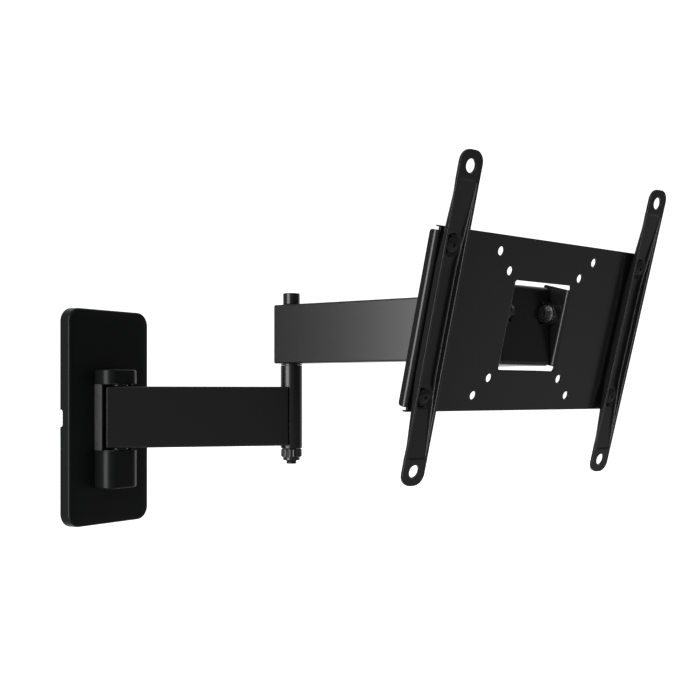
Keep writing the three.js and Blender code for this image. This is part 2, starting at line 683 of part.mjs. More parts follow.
function plateRightHalf() {
  const earHalf = WINDOW_HALF;
  const faceInner = EAR_OUTER + 1;
  const faceOuter = PLATE_HALF_WIDTH - BEND_RADIUS;
  let half = raise(plateSection(WINDOW_HALF, PLATE_HALF_WIDTH, EAR_DEPTH, FLANGE_DEPTH),
    -PLATE_HALF_HEIGHT, PLATE_HALF_HEIGHT, 3);
  // The ear and its bend stop at the window's height
  const aboveEar = (low, high) => box([WINDOW_HALF - 1, -1, low], [faceInner, EAR_DEPTH + 1, high]);
  half = half.subtract(aboveEar(earHalf, PLATE_HALF_HEIGHT + 1));
  half = half.subtract(aboveEar(-PLATE_HALF_HEIGHT - 1, -earHalf));
  // Bend reliefs above and below the flange
  const beyond = (low, high) => box([faceOuter, PLATE_THICKNESS, low], [faceOuter + 10, 20, high]);
  half = half.subtract(beyond(FLANGE_HALF_HEIGHT, PLATE_HALF_HEIGHT + 1));
  half = half.subtract(beyond(-PLATE_HALF_HEIGHT - 1, -FLANGE_HALF_HEIGHT));
  // Rounded free corners of the ear
  const lower = roundedRectangle(-EAR_DEPTH, -earHalf, EAR_DEPTH, 0.5 * earHalf, EAR_CORNERS.lower);
  const upper = roundedRectangle(-EAR_DEPTH, -0.5 * earHalf, EAR_DEPTH, earHalf, EAR_CORNERS.upper);
  const earRight = EAR_OUTER + 2 * JOIN;
  const keep = side(lower, WINDOW_HALF - 1, earRight, 4)
    .add(side(upper, WINDOW_HALF - 1, earRight, 4))
    .add(box([EAR_OUTER + JOIN, -1, -70], [120, 30, 70]));
  return half.intersect(keep);
}

function tvPlate() {
  const faceInner = EAR_OUTER + 1;
  const right = plateRightHalf();
  const reach = faceInner + JOIN;
  const strip = (low, high) => box([-reach, 0, low], [reach, PLATE_THICKNESS, high]);
  const reliefTop = WINDOW_HALF + RELIEF.height;
  let body = right.add(right.mirror([1, 0, 0]));
  body = body.add(strip(WINDOW_HALF - JOIN, PLATE_HALF_HEIGHT));
  body = body.add(strip(-PLATE_HALF_HEIGHT, -WINDOW_HALF + JOIN));
  for (const direction of [1, -1]) {
    const [low, high] = direction > 0 ? [WINDOW_HALF, reliefTop] : [-reliefTop, -WINDOW_HALF];
    const slot = roundedRectangle(-RELIEF.halfWidth, low, RELIEF.halfWidth, high, 1.6);
    body = body.subtract(panel(slot, -1, PLATE_THICKNESS + 1, 3));
  }
  for (const x of [-1, 1]) {
    for (const z of [-1, 1]) {
      for (const square of VESA_SQUARES) {
        const at = { x: x * square / 2, z: z * square / 2 };
        body = body.subtract(roundY(VESA_HOLE, -1, PLATE_THICKNESS + 1, at));
      }
      const screw = { x: x * BAR_SPACING / 2, z: z * BAR_SCREW_Z };
      body = body.subtract(roundY(M6.hole, -1, PLATE_THICKNESS + 1, screw));
    }
  }
  // Tilt holes through both ears
  const axis = { y: PLATE_FORWARD, z: PLATE_DROP };
  return body.subtract(roundX(M6.hole, -EAR_OUTER - 1, EAR_OUTER + 1, axis));
}

// Outline of the bar's web and tabs, seen from its side
function barWebOutline() {
  const back = -GAP;
  const webFront = back - BAR_SHEET;
  const tabBack = -BAR_DEPTH + BAR_SHEET;
  return polygon([
    [back, -RAMP_END], [back, RAMP_END],
    [tabBack, TAB_START], [tabBack, BAR_HALF_LENGTH],
    [-BAR_DEPTH, BAR_HALF_LENGTH], [-BAR_DEPTH, TAB_START],
    [webFront, RAMP_END], [webFront, -RAMP_END],
    [-BAR_DEPTH, -TAB_START], [-BAR_DEPTH, -BAR_HALF_LENGTH],
    [tabBack, -BAR_HALF_LENGTH], [tabBack, -TAB_START],
  ]);
}

// Outline of one of the bar's two forward flanges
function barFlangeOutline() {
  const back = -GAP;
  const tabBack = -BAR_DEPTH + BAR_SHEET;
  return polygon([
    [back, -RAMP_END], [back, RAMP_END], [tabBack, TAB_START],
    [-BAR_DEPTH, TAB_START], [-BAR_DEPTH, -TAB_START], [tabBack, -TAB_START],
  ]);
}

function vesaBar(centre) {
  const half = BAR_WIDTH / 2;
  const front = -BAR_DEPTH - 1;
  const outline = roundedRectangle(-half, -BAR_HALF_LENGTH, half, BAR_HALF_LENGTH, BAR_END_RADIUS);
  let bar = side(barWebOutline(), -half, half).intersect(panel(outline, front, 1, 5));
  bar = bar.add(side(barFlangeOutline(), -half, -half + BAR_SHEET));
  bar = bar.add(side(barFlangeOutline(), half - BAR_SHEET, half));
  const seat = -GAP - BAR_SHEET;
  for (const end of [-1, 1]) {
    const z = end * BAR_SCREW_Z;
    bar = bar.subtract(roundY(DISH_RADIUS, front, seat, { z, sides: TURN_SIDES }));
    bar = bar.add(roundY(DISH_RADIUS + JOIN, seat, -GAP, { z, sides: TURN_SIDES }));
    bar = bar.subtract(roundY(BAR_HOLE, front, 1, { z: end * BAR_SPACING / 2 }));
    bar = bar.subtract(roundY(M6.hole, front, 1, { z }));
  }
  return bar.translate([centre, 0, 0]);
}

// Pan-headed screw from the front through bar and plate, with its nut behind
function barScrew(x, z) {
  const headBack = -2 * GAP - BAR_SHEET;
  return roundY(BAR_SCREW.head, headBack - BAR_SCREW.height, headBack, { x, z })
    .add(roundY(M6.shaft, headBack - JOIN, PLATE_THICKNESS + BAR_SCREW.tail, { x, z }));
}

function barNut(x, z) {
  const front = PLATE_THICKNESS + GAP;
  const back = front + NUT_HEIGHT.bar;
  return roundY(M6.head, front, back, { x, z, sides: 6 })
    .subtract(roundY(M6.hole, front - 1, back + 1, { x, z }));
}

plate.add(meshFrom('tv_plate', tvPlate(), powderCoat));
for (const [place, direction] of [['left', -1], ['right', 1]]) {
  const x = direction * BAR_SPACING / 2;
  plate.add(meshFrom(`vesa_bar_${place}`, vesaBar(x), powderCoat));
  for (const [level, z] of [['upper', BAR_SCREW_Z], ['lower', -BAR_SCREW_Z]]) {
    plate.add(meshFrom(`bar_screw_${place}_${level}`, barScrew(x, z), darkSteel));
    plate.add(meshFrom(`bar_nut_${place}_${level}`, barNut(x, z), darkSteel));
  }
}

export default mount;
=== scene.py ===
"""Full motion TV wall mount: the visual model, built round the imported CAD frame.

Pieces are built in millimetres in the CAD's own local frames, and then placed in the row frame in metres.
"""

import json
import math

import bmesh
import bpy
from mathutils import Matrix, Vector


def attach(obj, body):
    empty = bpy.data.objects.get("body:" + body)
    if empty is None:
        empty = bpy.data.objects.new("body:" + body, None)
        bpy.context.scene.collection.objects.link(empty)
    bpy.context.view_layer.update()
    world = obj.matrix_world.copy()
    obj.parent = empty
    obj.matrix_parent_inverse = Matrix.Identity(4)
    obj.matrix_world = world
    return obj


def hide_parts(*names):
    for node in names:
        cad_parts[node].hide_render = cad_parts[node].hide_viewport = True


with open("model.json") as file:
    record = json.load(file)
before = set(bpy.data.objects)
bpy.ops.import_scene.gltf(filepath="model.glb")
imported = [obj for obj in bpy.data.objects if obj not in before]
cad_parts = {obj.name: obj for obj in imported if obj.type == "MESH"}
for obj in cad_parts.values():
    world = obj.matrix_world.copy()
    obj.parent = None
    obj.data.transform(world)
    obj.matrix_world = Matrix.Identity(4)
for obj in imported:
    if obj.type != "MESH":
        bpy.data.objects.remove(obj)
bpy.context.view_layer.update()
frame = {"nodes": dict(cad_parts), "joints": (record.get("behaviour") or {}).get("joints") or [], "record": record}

MM = 0.001
UP = Vector((0, 0, 1))

# Local frames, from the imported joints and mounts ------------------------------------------

record = frame["record"]
joints = {joint["name"]: joint for joint in frame["joints"]}
tabs = [mount for mount in record["mounts"] if mount["name"].startswith("tv_tab")]


def joint_point(name):
    return Vector(joints[name]["pos_m"])


def local_frame(origin, x_axis, z_axis):
    """Millimetres in a local frame to metres in the row frame."""
    x = x_axis.normalized()
    z = z_axis.normalized()
    matrix = Matrix((x, z.cross(x), z)).transposed().to_4x4()
    matrix.translation = origin
    return matrix @ Matrix.Scale(MM, 4)


def level(vector):
    return Vector((vector.x, vector.y, 0))


hinge = joint_point("wall_swivel")
elbow = joint_point("elbow_swivel")
swivel = joint_point("head_swivel")
pivot = joint_point("head_tilt")
head_right = Vector(joints["head_tilt"]["axis"])
plate_normal = Vector(tabs[0]["axis"])
plate_up = head_right.cross(-plate_normal)

WALL = Matrix.Scale(MM, 4)
LOWER = local_frame(hinge, level(elbow - hinge), UP)
UPPER = local_frame(elbow, level(swivel - elbow), UP)
HEAD = local_frame(swivel, head_right, UP)
TILT = local_frame(pivot, head_right, plate_up)

# Driving dimensions, in millimetres -----------------------------------------------------------

ARM_HALF_HEIGHT = 24.25
ARM_HALF_WIDTH = 10.5
TUBE_WALL = 2
TUBE_CORNER = 1.6
LOWER_ARM_LENGTH = level(elbow - hinge).length / MM
UPPER_ARM_LENGTH = level(swivel - elbow).length / MM
ARM_STEP = elbow.z / MM
ARM_OVERHANG = 10.3
HINGE_Y = hinge.y / MM
GAP = 0.3

# Bolts: radius of the shaft, of its hole, and of a nut or head across its corners
M8 = 4
M8_HOLE = 4.3
M8_NUT = 6.5
M6 = 3
M6_HOLE = 3.3
M6_NUT = 5.2
COUNTERSINK = 7
BOLT_TAIL = 8  # length of a bolt beyond the sheet under its nut

BAR_SPACING = 200
BAR_SCREW_Z = 50
BAR_DEPTH = 7.2
PLATE_FORWARD = 12
PLATE_DROP = 8.7
PLATE = TILT @ Matrix.Translation((0, -PLATE_FORWARD, -PLATE_DROP))

# Outlines: lists of points, anticlockwise ----------------------------------------------------


def arc(x, y, radius, start, end, steps=6):
    angles = [math.radians(start + (end - start) * i / steps) for i in range(steps + 1)]
    return [(x + radius * math.cos(a), y + radius * math.sin(a)) for a in angles]


def circle(x, y, radius, steps=40):
    return arc(x, y, radius, 0, 360, steps)[:-1]


def rounded_rectangle(x0, y0, x1, y1, radius, steps=6):
    corners = (
        (x1 - radius, y0 + radius, -90),
        (x1 - radius, y1 - radius, 0),
        (x0 + radius, y1 - radius, 90),
        (x0 + radius, y0 + radius, 180),
    )
    return [point for x, y, start in corners for point in arc(x, y, radius, start, start + 90, steps)]


def centred_rectangle(half_width, half_height, radius, steps=6):
    return rounded_rectangle(-half_width, -half_height, half_width, half_height, radius, steps)


def softened(points, reach, steps=3, closed=True):
    """The same line of points with each corner cut back by reach and rounded."""
    made = []
    count = len(points)
    for i, point in enumerate(points):
        if not closed and i in (0, count - 1):
            made.append(tuple(point))
            continue
        here = Vector(point)
        before = Vector(points[i - 1]) - here
        after = Vector(points[(i + 1) % count]) - here
        start = here + before.normalized() * min(reach, before.length * 0.45)
        end = here + after.normalized() * min(reach, after.length * 0.45)
        for k in range(steps + 1):
            t = k / steps
            made.append(tuple(start * (1 - t) ** 2 + here * 2 * t * (1 - t) + end * t * t))
    return made


# Closed meshes --------------------------------------------------------------------------------

TO_PANEL = Matrix.Rotation(math.radians(90), 4, "X")  # an outline in X and Y becomes one in X and Z
TO_SIDE = Matrix(((0, 0, 1, 0), (1, 0, 0, 0), (0, 1, 0, 0), (0, 0, 0, 1)))  # and one in Y and Z


def turned(bm, matrix):
    bmesh.ops.transform(bm, matrix=matrix, verts=bm.verts)
    if matrix.determinant() < 0:
        bmesh.ops.reverse_faces(bm, faces=bm.faces)
    return bm


def moved(bm, x=0, y=0, z=0):
    return turned(bm, Matrix.Translation((x, y, z)))


def temporary(bm):
    mesh = bpy.data.meshes.new("temporary")
    bm.to_mesh(mesh)
    bm.free()
    thing = bpy.data.objects.new("temporary", mesh)
    bpy.context.scene.collection.objects.link(thing)
    return thing


def taken(thing, *others):
    """The evaluated mesh of a temporary object, which is then removed with the others."""
    shown = thing.evaluated_get(bpy.context.evaluated_depsgraph_get())
    mesh = bpy.data.meshes.new_from_object(shown)
    bm = bmesh.new()
    bm.from_mesh(mesh)
    bpy.data.meshes.remove(mesh)
    for item in (thing, *others):
        bpy.data.objects.remove(item)
    return bm


def slab(loops, low, high, rim, steps=2):
    """A sheet along Z: its outline, then its holes, with rounded rims round all of them."""
    curve = bpy.data.curves.new("slab", "CURVE")
    curve.dimensions = "2D"
    curve.fill_mode = "BOTH"
    curve.extrude = (high - low) / 2 - rim
    curve.bevel_depth = rim
    curve.bevel_resolution = steps - 1
    curve.offset = -rim
    for k, loop in enumerate(loops):
        points = loop if k == 0 else loop[::-1]
        spline = curve.splines.new("POLY")
        spline.points.add(len(points) - 1)
        spline.use_cyclic_u = True
        for target, (x, y) in zip(spline.points, points):
            target.co = (x, y, 0, 1)
    thing = bpy.data.objects.new("slab", curve)
    bpy.context.scene.collection.objects.link(thing)
    bm = taken(thing)
    bmesh.ops.remove_doubles(bm, verts=bm.verts, dist=1e-4)
    bmesh.ops.recalc_face_normals(bm, faces=bm.faces)
    return moved(bm, z=(low + high) / 2)


def panel(loops, front, back, rim, steps=2):
    """A sheet whose outline is drawn in X and Z, between two depths along Y."""
    return turned(slab(loops, -back, -front, rim, steps), TO_PANEL)


def side(loops, left, right, rim, steps=2):
    """A sheet whose outline is drawn in Y and Z, between two places along X."""
    return turned(slab(loops, left, right, rim, steps), TO_SIDE)


def bridge(bm, first, second):
    for i in range(max(len(first), len(second))):
        a, b = first[i % len(first)], first[(i + 1) % len(first)]
        c, d = second[(i + 1) % len(second)], second[i % len(second)]
        corners = list(dict.fromkeys((a, b, c, d)))
        if len(corners) > 2:
            bm.faces.new(corners)


def loft(sections, capped=True):
    """A skin through closed sections that all have the same number of points."""
    bm = bmesh.new()
    rings = [[bm.verts.new(point) for point in section] for section in sections]
    for first, second in zip(rings, rings[1:]):
        bridge(bm, first, second)
    if capped:
        bm.faces.new(rings[0][::-1])
        bm.faces.new(rings[-1])
    else:
        bridge(bm, rings[-1], rings[0])
    bmesh.ops.recalc_face_normals(bm, faces=bm.faces)
    return bm


def lathe(profile, sides=48, closed=False):
    """A turned piece about Z from (radius, height) points, from axis to axis or closed on itself."""
    bm = bmesh.new()
    rings = []
    for radius, height in profile:
        if radius < 1e-6:
            rings.append([bm.verts.new((0, 0, height))])
            continue
        turns = [2 * math.pi * i / sides for i in range(sides)]
        rings.append([bm.verts.new((radius * math.cos(t), radius * math.sin(t), height)) for t in turns])
    pairs = list(zip(rings, rings[1:]))
    if closed:
        pairs.append((rings[-1], rings[0]))
    for first, second in pairs:
        bridge(bm, first, second)
    bmesh.ops.recalc_face_normals(bm, faces=bm.faces)
    return bm


def ring(outer, inner, bottom, top, edge=0.25, sides=48):
    profile = [(inner, bottom), (outer, bottom), (outer, top), (inner, top)]
    return lathe(softened(profile, edge, 2), sides, closed=True)


def disc(radius, bottom, top, edge=0.4, sides=48):
    profile = [(0, bottom), (radius, bottom), (radius, top), (0, top)]
    return lathe(softened(profile, edge, 2, closed=False), sides)


def bore(radius, bottom, top, flare=0.35, sides=40):
    """A cutter for a hole between two faces, flared so that both of its edges are eased."""
    reach = 1.0
    profile = [
        (0, bottom - reach), (radius + flare + reach, bottom - reach), (radius + flare, bottom),
        (radius + flare * 0.3, bottom + flare * 0.3), (radius, bottom + flare),
        (radius, top - flare), (radius + flare * 0.3, top - flare * 0.3),
        (radius + flare, top), (radius + flare + reach, top + reach), (0, top + reach),
    ]
    return lathe(profile, sides)


def combine(first, second, operation="DIFFERENCE"):
    base = temporary(first)
    tool = temporary(second)
    modifier = base.modifiers.new("combine", "BOOLEAN")
    modifier.operation = operation
    modifier.solver = "EXACT"
    modifier.object = tool
    return taken(base, tool)


def cut(bm, *cutters):
    for cutter in cutters:
        bm = combine(bm, cutter)
    return bm


def joined(bm, *others):
    for other in others:
        bm = combine(bm, other, "UNION")
    return bm


def eased(bm, width, steps=2, angle=30):
    """Rounds the sharp edges."""
    bmesh.ops.remove_doubles(bm, verts=bm.verts, dist=1e-3)
    bmesh.ops.dissolve_limit(bm, angle_limit=math.radians(0.6), verts=bm.verts, edges=bm.edges)
    thing = temporary(bm)
    modifier = thing.modifiers.new("ease", "BEVEL")
    modifier.width = width
    modifier.segments = steps
    modifier.limit_method = "ANGLE"
    modifier.angle_limit = math.radians(angle)
    modifier.miter_outer = "MITER_ARC"
    return taken(thing)


def laid_beside(*parts):
    """Separate closed meshes in one."""
    whole = bmesh.new()
    for part in parts:
        mesh = bpy.data.meshes.new("part")
        part.to_mesh(mesh)
        part.free()
        whole.from_mesh(mesh)
        bpy.data.meshes.remove(mesh)
    return whole


def thread(crest, root, start, end, pitch=1.25):
    """Profile points of a thread between two heights, with a chamfered end."""
    way = 1 if end > start else -1
    chamfer = crest - root
    turns = int((abs(end - start) - chamfer) / pitch)
    points = []
    for i in range(turns):
        height = start + way * i * pitch
        points += [(crest, height), (root, height + way * pitch / 2)]
    return [*points, (crest, start + way * turns * pitch), (crest, end - way * chamfer), (root, end)]


def hexagon_head(radius, bottom, top):
    """A hexagonal head with its top corners turned off."""
    block = slab([circle(0, 0, radius, 6)], bottom, top, 0.12)
    turning = lathe([
        (0, bottom - 1), (radius + 1, bottom - 1), (radius + 1, top - radius * 0.16),
        (radius * 0.84, top), (0, top),
    ], 48)
    return combine(block, turning, "INTERSECT")


# Materials ------------------------------------------------------------------------------------


class Nodes:
    """A short way to write a procedural material."""

    def __init__(self, name):
        self.material = bpy.data.materials.new(name)
        self.material.use_nodes = True
        self.tree = self.material.node_tree
        self.shader = self.tree.nodes["Principled BSDF"]
        self.place = self.add("ShaderNodeTexCoord").outputs["Object"]

    def add(self, kind, **settings):
        node = self.tree.nodes.new(kind)
        for key, value in settings.items():
            setattr(node, key, value)
        return node

    def link(self, start, end):
        self.tree.links.new(start, end)

    def noise(self, scale, detail=2.0, roughness=0.5):
        node = self.add("ShaderNodeTexNoise")
        node.inputs["Scale"].default_value = scale
        node.inputs["Detail"].default_value = detail
        node.inputs["Roughness"].default_value = roughness
        self.link(self.place, node.inputs["Vector"])
        return node.outputs["Fac"]

    def cells(self, scale):
        node = self.add("ShaderNodeTexVoronoi")
        node.inputs["Scale"].default_value = scale
        self.link(self.place, node.inputs["Vector"])
        return node.outputs["Distance"]

    def spread(self, value, low, high):
        """Maps the middle of a noise to a range."""
        node = self.add("ShaderNodeMapRange")
        node.inputs["From Min"].default_value = 0.3
        node.inputs["From Max"].default_value = 0.7
        node.inputs["To Min"].default_value = low
        node.inputs["To Max"].default_value = high
        self.link(value, node.inputs["Value"])
        return node.outputs["Result"]

    def blend(self, value, first, second):
        node = self.add("ShaderNodeMix", data_type="RGBA")
        self.link(value, node.inputs["Factor"])
        node.inputs[6].default_value = (*first, 1)
        node.inputs[7].default_value = (*second, 1)
        return node.outputs[2]

    def bump(self, height, strength, distance, below=None):
        node = self.add("ShaderNodeBump")
        node.inputs["Strength"].default_value = strength
        node.inputs["Distance"].default_value = distance
        self.link(height, node.inputs["Height"])
        if below is not None:
            self.link(below, node.inputs["Normal"])
        return node.outputs["Normal"]

    def finish(self, colour=None, roughness=None, normal=None, **constants):
        for socket, value in (("Base Color", colour), ("Roughness", roughness), ("Normal", normal)):
            if value is not None:
                self.link(value, self.shader.inputs[socket])
        for key, value in constants.items():
            self.shader.inputs[key.replace("_", " ")].default_value = value
        return self.material


def powder_coat():
    """Satin black powder coat: a fine orange peel with a finer grain on it."""
    nodes = Nodes("powder_coat")
    tone = nodes.spread(nodes.noise(600, 3), 0, 1)
    colour = nodes.blend(tone, (0.0060, 0.0060, 0.0061), (0.0068, 0.0068, 0.0069))
    roughness = nodes.spread(nodes.noise(1400, 3), 0.24, 0.27)
    peel = nodes.bump(nodes.noise(1100, 2), 0.06, 0.00008)
    grain = nodes.bump(nodes.noise(3800, 1), 0.08, 0.00002, peel)
    return nodes.finish(colour, roughness, grain)


def cover_plastic():
    """Black moulded plastic with a fine spark texture."""
    nodes = Nodes("cover_plastic")
    tone = nodes.spread(nodes.noise(60, 4), 0, 1)
    colour = nodes.blend(tone, (0.0044, 0.0054, 0.0048), (0.0054, 0.0065, 0.0059))
    roughness = nodes.spread(nodes.noise(900, 3), 0.32, 0.38)
    spark = nodes.bump(nodes.cells(2600), 0.10, 0.00003)
    grain = nodes.bump(nodes.noise(1500, 3), 0.14, 0.00004, spark)
    return nodes.finish(colour, roughness, grain, Specular_IOR_Level=0.18)


def cast_housing():
    """Black satin coat over a casting, so slightly uneven."""
    nodes = Nodes("cast_housing")
    tone = nodes.spread(nodes.noise(150, 4), 0, 1)
    colour = nodes.blend(tone, (0.036, 0.0365, 0.036), (0.046, 0.0465, 0.046))
    roughness = nodes.spread(nodes.noise(900, 3), 0.38, 0.44)
    skin = nodes.bump(nodes.noise(520, 4), 0.2, 0.00012)
    return nodes.finish(colour, roughness, skin)


def zinc_plate():
    """Bright zinc over turned steel, with a faint milky mottle."""
    nodes = Nodes("zinc_washer")
    tone = nodes.spread(nodes.noise(500, 4), 0, 1)
    colour = nodes.blend(tone, (0.56, 0.57, 0.58), (0.68, 0.69, 0.69))
    roughness = nodes.spread(nodes.noise(900, 3), 0.20, 0.34)
    scratch = nodes.bump(nodes.noise(2600, 2), 0.15, 0.00003)
    return nodes.finish(colour, roughness, scratch, Metallic=1.0)


def black_oxide():
    """Blackened steel: dark and a little uneven, with a soft oily sheen."""
    nodes = Nodes("dark_fastener")
    tone = nodes.spread(nodes.noise(700, 4), 0, 1)
    colour = nodes.blend(tone, (0.007, 0.007, 0.0072), (0.012, 0.012, 0.0122))
    roughness = nodes.spread(nodes.noise(1200, 3), 0.26, 0.34)
    skin = nodes.bump(nodes.noise(3000, 2), 0.2, 0.00003)
    return nodes.finish(colour, roughness, skin, Metallic=0.1)


def moulded_nylon():
    """Plain black nylon, a little rough."""
    nodes = Nodes("nylon")
    tone = nodes.spread(nodes.noise(200, 3), 0, 1)
    colour = nodes.blend(tone, (0.009, 0.009, 0.009), (0.014, 0.014, 0.014))
    roughness = nodes.spread(nodes.noise(600, 3), 0.16, 0.22)
    grain = nodes.bump(nodes.noise(2200, 2), 0.12, 0.00004)
    return nodes.finish(colour, roughness, grain)


MATERIALS = {
    "powder_coat": powder_coat(),
    "cover_plastic": cover_plastic(),
    "cast_housing": cast_housing(),
    "zinc_washer": zinc_plate(),
    "dark_fastener": black_oxide(),
    "nylon": moulded_nylon(),
}
SLOT_OF = {part["node"]: part["material_slot"] for part in record["subparts"]}
BODY_OF = {node: body for body, nodes in record["behaviour"]["bodies"].items() for node in nodes}


def place(node, bm, matrix):
    """The finished piece that stands for a CAD node, in that node's material and on its body."""
    mesh = bpy.data.meshes.new(node + "_visual")
    bmesh.ops.remove_doubles(bm, verts=bm.verts, dist=1e-4)
    bm.to_mesh(mesh)
    bm.free()
    mesh.transform(matrix)
    if matrix.determinant() < 0:
        mesh.flip_normals()
    mesh.polygons.foreach_set("use_smooth", [True] * len(mesh.polygons))
    mesh.set_sharp_from_angle(angle=math.radians(38))
    piece = bpy.data.objects.new(node + "_visual", mesh)
    bpy.context.scene.collection.objects.link(piece)
    weighted = piece.modifiers.new("weighted_normals", "WEIGHTED_NORMAL")
    weighted.keep_sharp = True
    mesh.materials.append(MATERIALS[SLOT_OF[node]])
    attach(piece, BODY_OF[node])
    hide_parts(node)
    return piece


# Wall side --------------------------------------------------------------------------------------

COVER_HALF_WIDTH = 41.25
COVER_HALF_HEIGHT = 85.5
COVER_DEPTH = 10.5
COVER_CORNER = 11
KNUCKLE_HALF_WIDTH = 16.3
EAR_HALF_WIDTH = 14.2
HINGE_GAP_HALF = 26
EAR_THICKNESS = 5
SWEEP_RADIUS = 15.1
HOUSING_SCREW_Z = (18, -18)
WALL_PLATE_THICKNESS = 3
UPPER_CAP_TOP = 37.7
LOWER_CAP_BOTTOM = -56.2
COVER_OPENING = (-50, 34)  # lowest and highest edge of the opening round the hinge


def wall_plate():
    """Steel backing plate with a slot and two holes for the wall screws."""
    half_width = 35
    half_height = 79
    corner = 6
    hole_x = 22
    hole_z = 60
    hole_radius = 4
    slot_half = 9
    screw_hole = 2.6
    slot = rounded_rectangle(-slot_half, hole_z - hole_radius, slot_half, hole_z + hole_radius, 3.95)
    holes = [circle(x, -hole_z, hole_radius) for x in (-hole_x, hole_x)]
    screws = [circle(0, z, screw_hole, 24) for z in HOUSING_SCREW_Z]
    outline = centred_rectangle(half_width, half_height, corner)
    return panel([outline, slot, *holes, *screws], -WALL_PLATE_THICKNESS, 0, 0.35)


def hinge_housing():
    """Casting with an ear above and below the arm and two scooped cheeks."""
    front = -26.4
    back = -WALL_PLATE_THICKNESS - GAP
    corner = 8.5
    cheek_front = -18.4
    ear_top = HINGE_GAP_HALF + EAR_THICKNESS
    ear = [
        (-EAR_HALF_WIDTH, back),
        *arc(-EAR_HALF_WIDTH + corner, front + corner, corner, 180, 270, 8),
        *arc(EAR_HALF_WIDTH - corner, front + corner, corner, -90, 0, 8),
        (EAR_HALF_WIDTH, back),
    ]
    cheek = [
        (-KNUCKLE_HALF_WIDTH, cheek_front), (KNUCKLE_HALF_WIDTH, cheek_front),
        (KNUCKLE_HALF_WIDTH, back), (-KNUCKLE_HALF_WIDTH, back),
    ]
    body = joined(
        slab([ear], -ear_top, ear_top, 0.5),
        slab([softened(cheek, 0.6)], -HINGE_GAP_HALF, HINGE_GAP_HALF, 0.3),
    )
    scoop = moved(disc(SWEEP_RADIUS, -HINGE_GAP_HALF, HINGE_GAP_HALF, 0.05, 96), y=HINGE_Y)
    pin_hole = moved(bore(M8_HOLE, -ear_top, ear_top), y=HINGE_Y)
    return eased(cut(body, scoop, pin_hole), 0.35)


def shell_section(half_width, half_height, corner, depth):
    return [(x, -depth, z) for x, z in centred_rectangle(half_width, half_height, corner, 10)]


def wall_cover():
    """Hollow moulded cover: a drafted side, a rounded front edge and a very slightly crowned front."""
    edge = 1.7
    wall = 1.8
    draft = 0.35
    crown = 0.35
    steps = 6
    sections = []
    sections.append(shell_section(COVER_HALF_WIDTH, COVER_HALF_HEIGHT, COVER_CORNER, 0))
    for i in range(steps + 1):
        angle = math.pi / 2 * i / steps
        inset = draft + edge * (1 - math.cos(angle))
        depth = COVER_DEPTH - crown - edge * (1 - math.sin(angle))
        sections.append(shell_section(
            COVER_HALF_WIDTH - inset, COVER_HALF_HEIGHT - inset, COVER_CORNER - inset, depth))
    for inset, rise in ((4.5, 0.18), (8.5, crown)):
        sections.append(shell_section(
            COVER_HALF_WIDTH - inset, COVER_HALF_HEIGHT - inset,
            max(COVER_CORNER - inset, 2.2), COVER_DEPTH - crown + rise))
    outside = loft(sections)
    hollow = panel(
        [centred_rectangle(COVER_HALF_WIDTH - wall, COVER_HALF_HEIGHT - wall, COVER_CORNER - wall, 8)],
        -COVER_DEPTH + crown + wall, 3, 1.0)
    ear_opening = EAR_HALF_WIDTH + GAP
    opening = panel(
        [rounded_rectangle(-ear_opening, COVER_OPENING[0], ear_opening, COVER_OPENING[1], 1.5)],
        -COVER_DEPTH - 2, 0, 0.05)
    cheek_half = KNUCKLE_HALF_WIDTH + GAP
    cheek_opening = panel(
        [centred_rectangle(cheek_half, HINGE_GAP_HALF + GAP, 0.8)], -COVER_DEPTH - 2, 0, 0.05)
    notch_depth = 2.6
    notch = side(
        [rounded_rectangle(-notch_depth, -7.2, notch_depth, 6.2, 2.2)],
        -COVER_HALF_WIDTH - 2, -COVER_HALF_WIDTH + wall + 1, 0.05)
    return cut(outside, hollow, opening, cheek_opening, notch)


def hinge_cap(near, far):
    """A hollow cap over an ear, open towards the arm at near and closed at far."""
    front = -28.2
    back = -COVER_DEPTH - GAP
    corner = 9
    edge = 1.6
    wall = 1.5
    steps = 6
    direction = 1 if far > near else -1

    def section(inset, z):
        half = KNUCKLE_HALF_WIDTH - inset
        radius = corner - inset
        outline = [
            (half, back),
            (-half, back),
            *arc(-half + radius, front + inset + radius, radius, 180, 270, 12),
            *arc(half - radius, front + inset + radius, radius, 270, 360, 12),
        ]
        return [(x, y, z) for x, y in outline]

    lip = 0.25
    outer = [section(lip, near), section(0, near + direction * lip)]
    for i in range(steps + 1):
        angle = math.pi / 2 * i / steps
        outer.append(section(edge * (1 - math.cos(angle)), far - direction * edge * (1 - math.sin(angle))))
    mouth = near - direction
    ceiling = far - direction * wall
    inside = loft([section(wall, mouth), section(wall, ceiling)])
    inner_half = KNUCKLE_HALF_WIDTH - wall
    reach = 3
    room = [(-inner_half, back - reach), (inner_half, back - reach),
            (inner_half, back + reach), (-inner_half, back + reach)]
    back_room = slab([room], min(mouth, ceiling), max(mouth, ceiling), 0.01)
    return cut(loft(outer), inside, back_room)


PIN_HEAD = 5.4


def hinge_pin():
    """The pin of the wall hinge, with a round head."""
    bottom = -44
    seat = HINGE_GAP_HALF + EAR_THICKNESS + GAP
    top = seat + 3.3
    profile = [(0, bottom), (M8, bottom), (M8, seat), (PIN_HEAD, seat), (PIN_HEAD, top), (0, top)]
    return lathe(softened(profile, 0.5, 2, closed=False), 40)


def hinge_nut():
    ear_bottom = -HINGE_GAP_HALF - EAR_THICKNESS
    return ring(PIN_HEAD, M8_HOLE, ear_bottom - 8, ear_bottom - GAP, 0.4)


